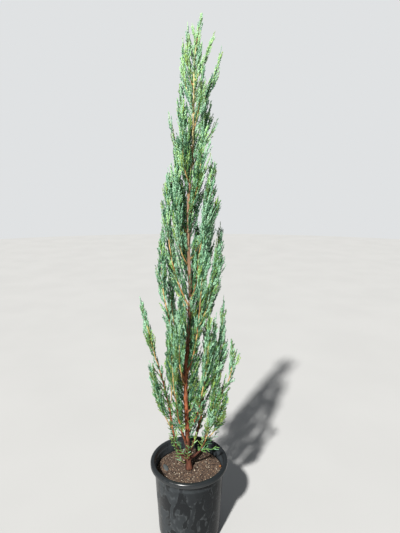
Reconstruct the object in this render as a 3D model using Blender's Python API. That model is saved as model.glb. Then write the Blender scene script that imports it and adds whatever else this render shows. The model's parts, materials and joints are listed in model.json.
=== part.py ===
"""A slim upright juniper tree in a round nursery pot, one object for each piece.

Metres, +Z up. The origin is the centre of the pot's flat underside. Azimuths are in degrees,
from +X (the right of the front view) round to +Y (the back).
"""
import math
import random
from dataclasses import dataclass

import bmesh
import bpy
import numpy as np
from mathutils import Vector
from mathutils.geometry import interpolate_bezier

# Everything that touches its neighbour keeps this much air.
GAP = 0.0003

# The pot: a set-back foot, a tapering body and a rolled lip
POT_HEIGHT = 0.190
RIM_RADIUS = 0.090
LIP_HEIGHT = 0.0105
LIP_UNDER_ROUND = 0.0015
LIP_TOP_ROUND = 0.0022
LIP_WAIST = 0.0040
BODY_TOP_RADIUS = 0.0805
BODY_FOOT_RADIUS = 0.0720
STEP_HEIGHT = 0.0135
STEP_SLOPE = 0.0010
FOOT_RADIUS = 0.0655
POT_WALL = 0.0015
POT_FLOOR = 0.0022
POT_SIDES = 32
SMOOTH_ANGLE = 35.0

# The soil, which sinks a little towards the wall
SOIL_TOP = 0.163
SOIL_EDGE_DROP = 0.0025
SOIL_LUMP = 0.0012
SOIL_RINGS = (0.058, 0.036, 0.014)

# The trunk: height, then how far it bends to the right and to the back
TRUNK_BENDS = (
    (SOIL_TOP + GAP, 0.0, 0.0),
    (0.260, -0.0040, 0.0010),
    (0.370, -0.0070, 0.0020),
    (0.490, -0.0004, 0.0005),
    (0.585, 0.0044, -0.0015),
    (0.670, 0.0018, -0.0010),
    (0.770, 0.0012, 0.0008),
    (0.875, 0.0100, 0.0015),
    (0.980, 0.0130, 0.0000),
    (1.050, 0.0146, -0.0008),
    (1.086, 0.0190, 0.0000),
)
TRUNK_FOOT = TRUNK_BENDS[0][0]
TRUNK_TOP = TRUNK_BENDS[-1][0]
TRUNK_RADIUS = 0.0054
TRUNK_TIP_RADIUS = 0.0011
TRUNK_FLARE = 0.0036
FLARE_HEIGHT = 0.011
TRUNK_SIDES = 10
TRUNK_RINGS = 26
RING_CROWDING = 1.35

# Limbs and stems are smooth curves from foot to tip.
LIMB_SIDES = 6
LIMB_RINGS = 6
STEM_SIDES = 3
STEM_RINGS = 6
STEM_RADIUS = 0.0014
STEM_TIP_RADIUS = 0.0006
CURVE_HANDLE = 0.36

# The crown's outline: height, then the reach to the left and to the right of the trunk
CROWN_OUTLINE = (
    (0.40, 0.044, 0.062),
    (0.57, 0.054, 0.070),
    (0.70, 0.050, 0.070),
    (0.80, 0.043, 0.056),
    (0.90, 0.037, 0.042),
    (1.00, 0.030, 0.037),
    (1.06, 0.024, 0.044),
    (1.12, 0.014, 0.022),
)

# The plumes that grow straight on the trunk, each a golden angle round from the one below
GOLDEN_ANGLE = 137.50776
PLUME_COUNT = 20
PLUME_LOW = 0.305
PLUME_HIGH = 0.955
PLUME_FIRST_AZIMUTH = 320.0
PLUME_LEAVE_LOW = 38.0
PLUME_LEAVE_HIGH = 30.0
PLUME_ARRIVE = 4.0
PLUME_LENGTH_LOW = 0.250
PLUME_LENGTH_HIGH = 0.108

# A plume steps aside until its stem has this much room, and it keeps the front open.
STEM_ROOM = 0.0145
STEP_ASIDE = 10.0
STEPS_ASIDE = (0, 1, -1, 2, -2, 3, -3, 4, -4, 5, -5)
OPEN_FRONT_HALF = 20.0

# The sprays of one plume: a flat blade for a core, with needles standing out of it
SPRAYS = 7
SPRAY_LENGTH = 0.074
SPRAY_RADIUS = 0.0075
SPRAY_FLATNESS = 0.42
SPRAY_WIDEST = 0.46
SPRAY_LEAVE = 30.0
SPRAY_ARRIVE = 8.0
SPRAY_ELBOW = 0.45
SPRAY_TRIES = 8
SPRAY_SHRINK = 0.78
NEEDLE_LENGTH = 0.036
NEEDLE_RADIUS = 0.0038
NEEDLE_WIDEST = 0.48
NEEDLE_LEAN = 22.0
NEEDLE_PLACES = ((0.34, 72), (0.56, -72))
BARE_SHARE = 0.13
TOP_SHARE = 0.80
TIP_SHARE = 0.84
TIP_LENGTH = 0.004
TIP_SIZE = 0.62
SPACE_CLEARANCE = 0.0004


@dataclass(frozen=True)
class Shoot:
    """A limb or a plume: where it starts, where its tip is and how it leans at both ends.

    foot is a height on the trunk, or a share of the limb that carries it, where 1 is its tip.
    """

    name: str
    parent: str
    foot: float
    foot_azimuth: float
    tip_radius: float
    tip_azimuth: float
    tip_height: float
    leave: float
    arrive: float
    thick: float = STEM_RADIUS
    thin: float = STEM_TIP_RADIUS
    round_trunk: bool = False


LIMBS = (
    Shoot("bough_left_lower", "trunk", 0.186, 178, 0.039, 180, 0.278, 46, 8, 0.0027, 0.0022),
    Shoot("bough_left_upper", "bough_left_lower", 1.0, 180, 0.0655, 180, 0.412, 8, 15, 0.0022, 0.0016),
    Shoot("bough_right_lower", "trunk", 0.192, 352, 0.038, 358, 0.243, 60, 9, 0.0027, 0.0022),
    Shoot("bough_right_upper", "bough_right_lower", 1.0, 0, 0.085, 2, 0.371, 12, 28, 0.0022, 0.0015),
    Shoot("bough_second_stem", "trunk", 0.205, 38, 0.035, 20, 0.335, 30, 4, 0.0032, 0.0024),
    Shoot("bough_second_stem_upper", "bough_second_stem", 1.0, 20, 0.042, 18, 0.500, 4, 3, 0.0024, 0.0016),
    Shoot("bough_back_left", "trunk", 0.218, 128, 0.043, 132, 0.330, 36, 8, 0.0027, 0.0018),
    Shoot("bough_back", "trunk", 0.250, 82, 0.046, 84, 0.350, 36, 10, 0.0025, 0.0018),
    Shoot("bough_front_left", "trunk", 0.236, 232, 0.036, 226, 0.330, 34, 10, 0.0023, 0.0016),
    Shoot("bough_front_right", "trunk", 0.262, 312, 0.037, 318, 0.352, 36, 10, 0.0023, 0.0016),
    Shoot("bough_left_middle", "trunk", 0.392, 214, 0.046, 200, 0.545, 32, 12, 0.0023, 0.0013),
    Shoot("bough_right_middle", "trunk", 0.405, 318, 0.034, 308, 0.520, 26, 8, 0.0021, 0.0013),
    Shoot("bough_left_high", "trunk", 0.560, 222, 0.038, 206, 0.668, 32, 10, 0.0019, 0.0012),
    Shoot("bough_right_high", "trunk", 0.575, 322, 0.032, 316, 0.672, 26, 8, 0.0018, 0.0012),
)

LIMB_PLUMES = (
    Shoot("foliage_left_outer", "bough_left_upper", 1.0, 180, 0.104, 180, 0.576, 16, 11),
    Shoot("foliage_left_low_outer", "bough_left_lower", 0.90, 206, 0.086, 192, 0.436, 28, 12),
    Shoot("foliage_left_low_inner", "bough_left_upper", 0.30, 30, 0.046, 171, 0.452, 18, -4),
    Shoot("foliage_right_outer", "bough_right_upper", 1.0, 2, 0.096, 2, 0.478, 24, -2),
    Shoot("foliage_right_low_outer", "bough_right_lower", 0.90, 344, 0.086, 350, 0.362, 42, 14),
    Shoot("foliage_right_low_inner", "bough_right_lower", 0.78, 300, 0.068, 350, 0.440, 24, 4),
    Shoot("foliage_second_outer", "bough_second_stem", 0.90, 8, 0.078, 8, 0.575, 28, 2),
    Shoot("foliage_second_upper", "bough_second_stem_upper", 1.0, 18, 0.071, 14, 0.735, 10, 3),
    Shoot("foliage_back_left", "bough_back_left", 1.0, 132, 0.062, 138, 0.560, 12, 3),
    Shoot("foliage_back", "bough_back", 1.0, 84, 0.066, 84, 0.570, 12, 3),
    Shoot("foliage_front_left", "bough_front_left", 1.0, 226, 0.049, 222, 0.535, 12, 2),
    Shoot("foliage_front_right", "bough_front_right", 1.0, 318, 0.060, 322, 0.560, 14, 3),
    Shoot("foliage_left_middle", "bough_left_middle", 1.0, 200, 0.053, 190, 0.735, 14, -2),
    Shoot("foliage_right_middle", "bough_right_middle", 1.0, 308, 0.049, 312, 0.722, 10, 2),
    Shoot("foliage_left_high", "bough_left_high", 1.0, 206, 0.040, 196, 0.845, 10, -2),
    Shoot("foliage_right_high", "bough_right_high", 1.0, 316, 0.053, 336, 0.868, 14, 2),
    Shoot("foliage_right_upper", "trunk", 0.660, 350, 0.064, 346, 0.791, 30, 6),
    Shoot("foliage_top_left", "trunk", 1.004, 206, 0.008, 284, 1.114, 26, -4),
    Shoot("foliage_top_left_outer", "trunk", 0.966, 160, 0.018, 118, 1.096, 26, 0),
    Shoot("foliage_top_right", "trunk", 1.012, 330, 0.054, 348, 1.097, 32, 20),
    Shoot("foliage_top_right_outer", "trunk", 0.950, 352, 0.068, 8, 1.078, 34, 9),
    Shoot("foliage_top_back", "trunk", 1.030, 92, 0.031, 48, 1.112, 26, 2),
    Shoot("foliage_leader", "trunk_tip", 1.0, 0, 0.0285, 0, 1.133, 12, 8, TRUNK_TIP_RADIUS),
)


def clear_scene() -> None:
    """Remove every object that the file holds."""
    for thing in list(bpy.data.objects):
        bpy.data.objects.remove(thing, do_unlink=True)


def finish(name: str, colour: tuple, roughness: float) -> bpy.types.Material:
    """Make a Principled material of one colour."""
    made = bpy.data.materials.new(name)
    made.use_nodes = True
    shader = made.node_tree.nodes["Principled BSDF"]
    shader.inputs["Base Color"].default_value = (*colour, 1.0)
    shader.inputs["Roughness"].default_value = roughness
    made.diffuse_color = (*colour, 1.0)
    return made


def solid(name: str, verts: list, faces: list) -> bpy.types.Object:
    """Make one object from points and faces, with its faces turned outwards."""
    mesh = bpy.data.meshes.new(name)
    mesh.from_pydata([tuple(v) for v in verts], [], faces)
    work = bmesh.new()
    work.from_mesh(mesh)
    bmesh.ops.recalc_face_normals(work, faces=work.faces)
    work.to_mesh(mesh)
    work.free()
    return bpy.data.objects.new(name, mesh)


def turned(name: str, profile: list) -> bpy.types.Object:
    """Spin a profile of (radius, height) points, which starts and ends on the axis."""
    work = bmesh.new()
    points = [work.verts.new((radius, 0.0, height)) for radius, height in profile]
    edges = [work.edges.new(pair) for pair in zip(points, points[1:])]
    bmesh.ops.spin(work, geom=points + edges, cent=(0, 0, 0), axis=(0, 0, 1),
                   angle=math.tau, steps=POT_SIDES, use_merge=True)
    bmesh.ops.remove_doubles(work, verts=work.verts, dist=1e-6)
    bmesh.ops.recalc_face_normals(work, faces=work.faces)
    mesh = bpy.data.meshes.new(name)
    work.to_mesh(mesh)
    work.free()
    mesh.shade_smooth()
    mesh.set_sharp_from_angle(angle=math.radians(SMOOTH_ANGLE))
    return bpy.data.objects.new(name, mesh)


def pot_outer_radius(height: float) -> float:
    """Give the radius of the pot's tapering body at a height above its step."""
    share = (height - STEP_HEIGHT) / (POT_HEIGHT - LIP_HEIGHT - STEP_HEIGHT)
    return BODY_FOOT_RADIUS + share * (BODY_TOP_RADIUS - BODY_FOOT_RADIUS)


def build_pot() -> bpy.types.Object:
    """Turn the pot: its flat underside, then up its outside, over the lip and down its inside."""
    under_lip = POT_HEIGHT - LIP_HEIGHT
    middle = (BODY_TOP_RADIUS + RIM_RADIUS) / 2
    profile = [
        (0.0, 0.0),
        (FOOT_RADIUS, 0.0),
        (FOOT_RADIUS + STEP_SLOPE, STEP_HEIGHT - STEP_SLOPE),
        (BODY_FOOT_RADIUS, STEP_HEIGHT),
        (BODY_TOP_RADIUS, under_lip),
        (RIM_RADIUS - LIP_UNDER_ROUND, under_lip + GAP),
        (RIM_RADIUS, under_lip + LIP_WAIST),
        (RIM_RADIUS - LIP_UNDER_ROUND, POT_HEIGHT - LIP_TOP_ROUND),
        (middle, POT_HEIGHT),
        (BODY_TOP_RADIUS, POT_HEIGHT - LIP_UNDER_ROUND),
        (BODY_TOP_RADIUS - POT_WALL, under_lip),
        (BODY_FOOT_RADIUS - POT_WALL, STEP_HEIGHT + POT_WALL),
        (FOOT_RADIUS - POT_WALL, STEP_HEIGHT),
        (FOOT_RADIUS - POT_WALL, POT_FLOOR),
        (0.0, POT_FLOOR),
    ]
    return turned("pot", profile)


def build_soil() -> bpy.types.Object:
    """Fill the pot with soil whose top is a little uneven."""
    edge_height = SOIL_TOP - SOIL_EDGE_DROP
    foot_radius = FOOT_RADIUS - POT_WALL - GAP
    profile = [
        (0.0, POT_FLOOR + GAP),
        (foot_radius, POT_FLOOR + GAP),
        (foot_radius, STEP_HEIGHT + GAP),
        (BODY_FOOT_RADIUS - POT_WALL - 2 * GAP, STEP_HEIGHT + POT_WALL + 2 * GAP),
        (pot_outer_radius(edge_height) - POT_WALL - GAP, edge_height),
        *((radius, SOIL_TOP) for radius in SOIL_RINGS),
        (0.0, SOIL_TOP),
    ]
    soil = turned("soil", profile)
    rng = random.Random(11)
    for vert in soil.data.vertices:
        if vert.co.z > edge_height + GAP and vert.co.xy.length > SOIL_RINGS[-1] + GAP:
            vert.co.z += rng.uniform(-1.0, 0.2) * SOIL_LUMP
    return soil


def trunk_point(height: float) -> Vector:
    """Give the trunk's centre at a height, on a smooth curve through its bends."""
    last = len(TRUNK_BENDS) - 2
    place = next((i for i in range(last + 1) if height <= TRUNK_BENDS[i + 1][0]), last)
    low, high = TRUNK_BENDS[place], TRUNK_BENDS[place + 1]
    before = TRUNK_BENDS[max(place - 1, 0)]
    after = TRUNK_BENDS[min(place + 2, last + 1)]
    span = high[0] - low[0]
    share = min(max((height - low[0]) / span, 0.0), 1.0)
    sideways = []
    for axis in (1, 2):
        slope_low = (high[axis] - before[axis]) / (high[0] - before[0])
        slope_high = (after[axis] - low[axis]) / (after[0] - low[0])
        cubic = (2 * share**3 - 3 * share**2 + 1) * low[axis]
        cubic += (share**3 - 2 * share**2 + share) * span * slope_low
        cubic += (3 * share**2 - 2 * share**3) * high[axis]
        cubic += (share**3 - share**2) * span * slope_high
        sideways.append(cubic)
    return Vector((*sideways, height))


def trunk_radius(height: float) -> float:
    """Give the trunk's radius at a height: an even taper, and a flare at its foot."""
    share = (height - TRUNK_FOOT) / (TRUNK_TOP - TRUNK_FOOT)
    taper = TRUNK_RADIUS + share * (TRUNK_TIP_RADIUS - TRUNK_RADIUS)
    return taper + TRUNK_FLARE * math.exp(-(height - TRUNK_FOOT) / FLARE_HEIGHT)


def lean_vector(azimuth: float, lean: float) -> Vector:
    """Give the direction that leans this far from upright, towards an azimuth."""
    turn, tilt = math.radians(azimuth), math.radians(lean)
    return Vector((math.sin(tilt) * math.cos(turn), math.sin(tilt) * math.sin(turn), math.cos(tilt)))


def rings_along(path: list, radii: list, sides: int, level_foot: bool) -> list:
    """Put a ring of points round each point of a path, without twist from one to the next."""
    tangents = []
    for index in range(len(path)):
        before, after = path[max(index - 1, 0)], path[min(index + 1, len(path) - 1)]
        tangents.append((after - before).normalized())
    if level_foot:
        tangents[0] = Vector((0, 0, 1))
    side = tangents[0].cross(Vector((0.31, 0.95, 0.0))).normalized()
    rings = []
    for centre, radius, tangent in zip(path, radii, tangents):
        side = (side - tangent * side.dot(tangent)).normalized()
        other = tangent.cross(side)
        ring = []
        for step in range(sides):
            turn = math.tau * step / sides
            ring.append(centre + radius * (side * math.cos(turn) + other * math.sin(turn)))
        rings.append(ring)
    return rings


def tube_mesh(rings: list, tip: Vector = None) -> tuple:
    """Join rings to a closed tube, with a flat foot and a flat or pointed tip."""
    sides = len(rings[0])
    verts = [point for ring in rings for point in ring]
    faces = [tuple(range(sides))]
    for ring in range(len(rings) - 1):
        low, high = ring * sides, (ring + 1) * sides
        for step in range(sides):
            after = (step + 1) % sides
            faces.append((low + step, low + after, high + after, high + step))
    top = (len(rings) - 1) * sides
    if tip is None:
        faces.append(tuple(top + step for step in range(sides)))
    else:
        verts.append(tip)
        faces += [(top + step, top + (step + 1) % sides, len(verts) - 1) for step in range(sides)]
    return verts, faces


def build_trunk() -> bpy.types.Object:
    """Build the trunk, with closer rings in the flare at its foot."""
    heights = []
    for step in range(TRUNK_RINGS + 1):
        heights.append(TRUNK_FOOT + (TRUNK_TOP - TRUNK_FOOT) * (step / TRUNK_RINGS) ** RING_CROWDING)
    path = [trunk_point(height) for height in heights]
    radii = [trunk_radius(height) for height in heights]
    trunk = solid("trunk", *tube_mesh(rings_along(path, radii, TRUNK_SIDES, True)))
    trunk.data.shade_smooth()
    return trunk


def point_on(path: list, share: float) -> tuple:
    """Give the point and the direction of a path at a share of its length."""
    along = min(share, 0.9999) * (len(path) - 1)
    step = int(along)
    return path[step].lerp(path[step + 1], along - step), (path[step + 1] - path[step]).normalized()


def distances(points: np.ndarray, path: list) -> np.ndarray:
    """Measure how far each point is from a path."""
    corners = np.array([tuple(point) for point in path])
    start, step = corners[:-1], corners[1:] - corners[:-1]
    offset = points[:, None, :] - start[None, :, :]
    share = np.clip((offset * step).sum(-1) / (step * step).sum(-1), 0.0, 1.0)
    return np.linalg.norm(offset - share[..., None] * step, axis=-1).min(axis=1)


def crown_reach(height: float, azimuth: float) -> float:
    """Give how far the crown stands out from the trunk at a height, on the side of an azimuth."""
    heights, lefts, rights = zip(*CROWN_OUTLINE)
    left = float(np.interp(height, heights, lefts))
    right = float(np.interp(height, heights, rights))
    return (left + right) / 2 + math.cos(math.radians(azimuth)) * (right - left) / 2


class Plant:
    """The paths of all the limbs and of the plumes' stems."""

    def __init__(self) -> None:
        self.limbs = {}
        self.plumes = {}
        for shoot in LIMBS:
            self.limbs[shoot.name] = (shoot, self.path_of(shoot, LIMB_RINGS))
        for shoot in LIMB_PLUMES:
            self.plumes[shoot.name] = (shoot, self.path_of(shoot, STEM_RINGS))
        rng = random.Random(7)
        for index in range(PLUME_COUNT):
            self.add_trunk_plume(index, rng)

    def add_trunk_plume(self, index: int, rng: random.Random) -> None:
        """Set a plume on the trunk, a golden angle round from the last, or aside where that is taken."""
        share = index / (PLUME_COUNT - 1)
        foot = PLUME_LOW + share * (PLUME_HIGH - PLUME_LOW)
        length = PLUME_LENGTH_LOW + share**2 * (PLUME_LENGTH_HIGH - PLUME_LENGTH_LOW)
        leave = PLUME_LEAVE_LOW + share * (PLUME_LEAVE_HIGH - PLUME_LEAVE_LOW)
        tip_height = foot + length * rng.uniform(0.92, 1.06)
        fullness = rng.uniform(0.86, 1.0)
        golden = PLUME_FIRST_AZIMUTH + index * GOLDEN_ANGLE + rng.uniform(-6, 6)
        best = None
        for step in STEPS_ASIDE:
            azimuth = (golden + step * STEP_ASIDE) % 360
            if abs(azimuth - 270) < OPEN_FRONT_HALF:
                continue
            reach = crown_reach(tip_height, azimuth) * fullness
            shoot = Shoot(f"foliage_crown_{index + 1:02d}", "trunk", foot, azimuth, reach, azimuth,
                          tip_height, leave, PLUME_ARRIVE, round_trunk=True)
            path = self.path_of(shoot, STEM_RINGS)
            room = self.room_round(path)
            if best is None or room > best[0] + GAP:
                best = (room, shoot, path)
            if room > STEM_ROOM:
                break
        self.plumes[best[1].name] = best[1:]

    def room_round(self, path: list) -> float:
        """Measure how near a path passes to the limbs and plumes that are already placed."""
        points = np.array([tuple(point_on(path, step / 40)[0]) for step in range(41)])
        placed = list(self.limbs.values()) + list(self.plumes.values())
        return min(float(distances(points, other).min()) for _, other in placed)

    def foot_of(self, shoot: Shoot) -> tuple:
        """Find the centre of a shoot's foot, and the direction square to the flat it butts against."""
        outward = lean_vector(shoot.foot_azimuth, 90)
        if shoot.parent == "trunk":
            axis = trunk_point(shoot.foot)
            reach = 0.0
            for height in (shoot.foot - 2 * shoot.thick, shoot.foot, shoot.foot + 2 * shoot.thick):
                shift = (trunk_point(height) - axis).dot(outward)
                reach = max(reach, trunk_radius(height) + shift)
            return axis + outward * (reach + GAP), outward
        if shoot.parent == "trunk_tip":
            up = (trunk_point(TRUNK_TOP) - trunk_point(TRUNK_TOP - FLARE_HEIGHT / 3)).normalized()
            return trunk_point(TRUNK_TOP) + up * GAP, up
        carrier, path = self.limbs[shoot.parent]
        if shoot.foot >= 1.0:
            up = (path[-1] - path[-2]).normalized()
            return path[-1] + up * GAP, up
        axis, up = point_on(path, shoot.foot)
        outward = (outward - up * outward.dot(up)).normalized()
        radius = carrier.thick + shoot.foot * (carrier.thin - carrier.thick)
        return axis + outward * (radius + GAP), outward

    def path_of(self, shoot: Shoot, rings: int) -> list:
        """Bend a smooth path from a shoot's foot to its tip."""
        start = self.foot_of(shoot)[0]
        tip = lean_vector(shoot.tip_azimuth, 90) * shoot.tip_radius
        tip.z = shoot.tip_height
        if shoot.round_trunk:
            tip += Vector((*trunk_point(shoot.tip_height).xy, 0.0))
        length = CURVE_HANDLE * (tip - start).length
        first = start + lean_vector(shoot.foot_azimuth, shoot.leave) * length
        second = tip - lean_vector(shoot.tip_azimuth, shoot.arrive) * length
        return interpolate_bezier(start, first, second, tip, rings + 1)


class Space:
    """The room that one plume keeps to: nearer to its own stem than to any other, off every limb."""

    def __init__(self, plant: Plant, name: str) -> None:
        self.own = plant.plumes[name][1]
        self.others = [path for key, (_, path) in plant.plumes.items() if key != name]
        self.limbs = [(path, shoot.thick) for shoot, path in plant.limbs.values()]
        heights = np.linspace(TRUNK_FOOT, TRUNK_TOP, TRUNK_RINGS).tolist()
        for low, high in zip(heights, heights[1:]):
            self.limbs.append(([trunk_point(low), trunk_point(high)], trunk_radius(low)))

    def holds(self, root: Vector, tip: Vector, radius: float) -> bool:
        """Tell whether a blade or needle from root to tip keeps to this room."""
        share = np.linspace(0.0, 1.0, 9)[:, None]
        points = np.array(tuple(root)) * (1 - share) + np.array(tuple(tip)) * share
        wide = radius * np.minimum(1.0, 4 * share[:, 0] * (1 - share[:, 0]) + 0.1) + SPACE_CLEARANCE
        own = distances(points, self.own)
        for path in self.others:
            if (distances(points, path) - own < 2 * wide).any():
                return False
        for path, thick in self.limbs:
            if (distances(points, path) < thick + wide).any():
                return False
        return True


def shoot_mesh(plant: Plant, shoot: Shoot, path: list, sides: int, pointed: bool) -> tuple:
    """Build the tapering tube of a limb or of a plume's stem, its foot cut flat against its carrier."""
    last = len(path) - 1
    radii = [shoot.thick + (shoot.thin - shoot.thick) * step / last for step in range(last + 1)]
    rings = rings_along(path, radii, sides, False)
    flat, square = plant.foot_of(shoot)
    along = (path[1] - path[0]).normalized()
    slope = along.dot(square)
    rings[0] = [place + along * ((flat - place).dot(square) / slope) for place in rings[0]]
    if pointed:
        return tube_mesh(rings[:-1], path[-1])
    return tube_mesh(rings)


def spindle(root: Vector, tip: Vector, widest: float, spin: float, wide: float, thick: float,
            sides: int) -> tuple:
    """Build a slim blade or needle that is pointed at both ends."""
    along = (tip - root).normalized()
    start = along.orthogonal().normalized()
    side = start * math.cos(spin) + along.cross(start) * math.sin(spin)
    other = along.cross(side)
    middle = root.lerp(tip, widest)
    verts = [root, tip]
    for step in range(sides):
        turn = math.tau * step / sides
        verts.append(middle + side * wide * math.cos(turn) + other * thick * math.sin(turn))
    faces = []
    for step in range(sides):
        low, high = 2 + step, 2 + (step + 1) % sides
        faces += [(0, high, low), (1, low, high)]
    return verts, faces


def blade(root: Vector, tip: Vector, size: float, spin: float) -> tuple:
    """Build a spray's flat four-sided core."""
    wide = SPRAY_RADIUS * size
    return spindle(root, tip, SPRAY_WIDEST, spin, wide, wide * SPRAY_FLATNESS, 4)


def needle(root: Vector, tip: Vector, size: float, spin: float) -> tuple:
    """Build a three-sided needle that stands out of a core."""
    wide = NEEDLE_RADIUS * size
    return spindle(root, tip, NEEDLE_WIDEST, spin, wide, wide, 3)


def turned_from(along: Vector, azimuth: float, lean: float) -> Vector:
    """Lean a direction away from a stem, to one side of it."""
    side = lean_vector(azimuth, 90)
    side = (side - along * side.dot(along)).normalized()
    return (along * math.cos(math.radians(lean)) + side * math.sin(math.radians(lean))).normalized()


def plume_shape(share: float) -> float:
    """Give a spray's length at a share of the stem, against the longest: a lance outline."""
    swelling = min(1.0, 0.55 + 1.8 * share)
    return swelling * (1.0 - 1.03 * max(0.0, share - 0.30))


def needles(space: Space, root: Vector, tip: Vector, azimuth: float, size: float, rng: random.Random) -> list:
    """Stand needles out of both sides of a spray's core."""
    made = []
    along = (tip - root).normalized()
    for share, turn in NEEDLE_PLACES:
        foot = root.lerp(tip, share)
        length = NEEDLE_LENGTH * size * rng.uniform(0.85, 1.1)
        point = foot + turned_from(along, azimuth + turn, NEEDLE_LEAN) * length
        if space.holds(foot.lerp(point, 0.1), point, NEEDLE_RADIUS * size):
            made.append(needle(foot, point, size, rng.uniform(0, math.pi)))
    return made


def plume_pieces(plant: Plant, name: str) -> list:
    """Work out a plume's stem and its sprays, and skip each that would leave the plume's room."""
    shoot, path = plant.plumes[name]
    space = Space(plant, name)
    rng = random.Random(f"{name} sprays")
    pieces = [shoot_mesh(plant, shoot, path, STEM_SIDES, True)]
    relative = (path[-1] - path[0]).length / PLUME_LENGTH_LOW
    count = max(3, round(SPRAYS * relative + 0.3))
    size = min(1.0, 0.45 + 0.55 * relative)
    azimuth = rng.uniform(0, 360)
    for index in range(count):
        share = BARE_SHARE + (TOP_SHARE - BARE_SHARE) * index / (count - 1)
        root, along = point_on(path, share)
        reach = SPRAY_LENGTH * size * plume_shape(share)
        for attempt in range(SPRAY_TRIES):
            azimuth += GOLDEN_ANGLE
            elbow = root + turned_from(along, azimuth, SPRAY_LEAVE) * reach * SPRAY_ELBOW
            tip = elbow + turned_from(along, azimuth, SPRAY_ARRIVE) * reach * (1 - SPRAY_ELBOW)
            if space.holds(elbow, tip, SPRAY_RADIUS):
                pieces.append(blade(root, tip, size, rng.uniform(0, math.pi)))
                pieces += needles(space, root, tip, azimuth, size, rng)
                break
            if attempt % 2:
                reach *= SPRAY_SHRINK
    root, along = point_on(path, TIP_SHARE)
    tip = path[-1] + along * TIP_LENGTH
    pieces.append(blade(root, tip, TIP_SIZE, azimuth))
    pieces += needles(space, root, tip, azimuth, TIP_SIZE, rng)[:1]
    return pieces


def largest_body(mesh: bpy.types.Mesh) -> None:
    """Keep a mesh's largest closed body and drop what fusing left loose or sealed in."""
    work = bmesh.new()
    work.from_mesh(mesh)
    bmesh.ops.triangulate(work, faces=work.faces)
    bmesh.ops.dissolve_degenerate(work, dist=1e-6, edges=work.edges)
    bmesh.ops.triangulate(work, faces=work.faces)
    seen = set()
    bodies = []
    for face in work.faces:
        if face in seen:
            continue
        body, front = [], [face]
        seen.add(face)
        while front:
            current = front.pop()
            body.append(current)
            for edge in current.edges:
                for neighbour in edge.link_faces:
                    if neighbour not in seen:
                        seen.add(neighbour)
                        front.append(neighbour)
        bodies.append(body)
    keep = set(max(bodies, key=len))
    bmesh.ops.delete(work, geom=[face for face in work.faces if face not in keep], context="FACES")
    work.to_mesh(mesh)
    work.free()


def build_plume(plant: Plant, name: str) -> bpy.types.Object:
    """Fuse a plume's stem, blades and needles into one closed body."""
    pieces = plume_pieces(plant, name)
    stem = solid(name, *pieces[0])
    bpy.context.scene.collection.objects.link(stem)
    group = bpy.data.collections.new(f"{name}_sprays")
    bpy.context.scene.collection.children.link(group)
    for index, piece in enumerate(pieces[1:]):
        group.objects.link(solid(f"{name}_piece_{index}", *piece))
    union = stem.modifiers.new("fuse", "BOOLEAN")
    union.operation = "UNION"
    union.operand_type = "COLLECTION"
    union.collection = group
    union.solver = "EXACT"
    graph = bpy.context.evaluated_depsgraph_get()
    fused = bpy.data.meshes.new_from_object(stem.evaluated_get(graph))
    stem.modifiers.clear()
    plain = stem.data
    stem.data = fused
    bpy.data.meshes.remove(plain)
    for piece in list(group.objects):
        bpy.data.objects.remove(piece, do_unlink=True)
    bpy.data.collections.remove(group)
    largest_body(stem.data)
    return stem


def build_limb(plant: Plant, name: str) -> bpy.types.Object:
    """Build one bough as a tapering limb with flat ends."""
    shoot, path = plant.limbs[name]
    limb = solid(name, *shoot_mesh(plant, shoot, path, LIMB_SIDES, False))
    limb.data.shade_smooth()
    return limb


def dress(thing: bpy.types.Object, material: bpy.types.Material) -> None:
    """Give an object its material and see that it is in the scene."""
    thing.data.materials.clear()
    thing.data.materials.append(material)
    if thing.name not in bpy.context.scene.collection.objects:
        bpy.context.scene.collection.objects.link(thing)


def main() -> None:
    """Build the pot, the soil, the trunk, the boughs and the plumes."""
    clear_scene()
    dress(build_pot(), finish("pot_plastic", (0.030, 0.034, 0.036), 0.45))
    dress(build_soil(), finish("soil_mix", (0.085, 0.055, 0.040), 0.95))
    dress(build_trunk(), finish("trunk_bark", (0.230, 0.080, 0.045), 0.80))
    plant = Plant()
    for name in plant.limbs:
        dress(build_limb(plant, name), finish(f"{name}_bark", (0.260, 0.120, 0.050), 0.75))
    for name in plant.plumes:
        dress(build_plume(plant, name), finish(f"{name}_green", (0.130, 0.300, 0.190), 0.70))


main()
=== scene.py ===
"""Looks of a slim upright juniper in a round nursery pot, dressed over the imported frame.

Metres, +Z up. The origin is the centre of the pot's flat underside, and azimuths are in degrees,
from +X (the right of the front view) round to +Y (the back).
"""
from __future__ import annotations

import json
import logging
import math
import random
from dataclasses import dataclass, field, replace
from enum import Enum

import bmesh
import bpy
import numpy as np
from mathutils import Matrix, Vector, noise
from mathutils.geometry import interpolate_bezier

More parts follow.
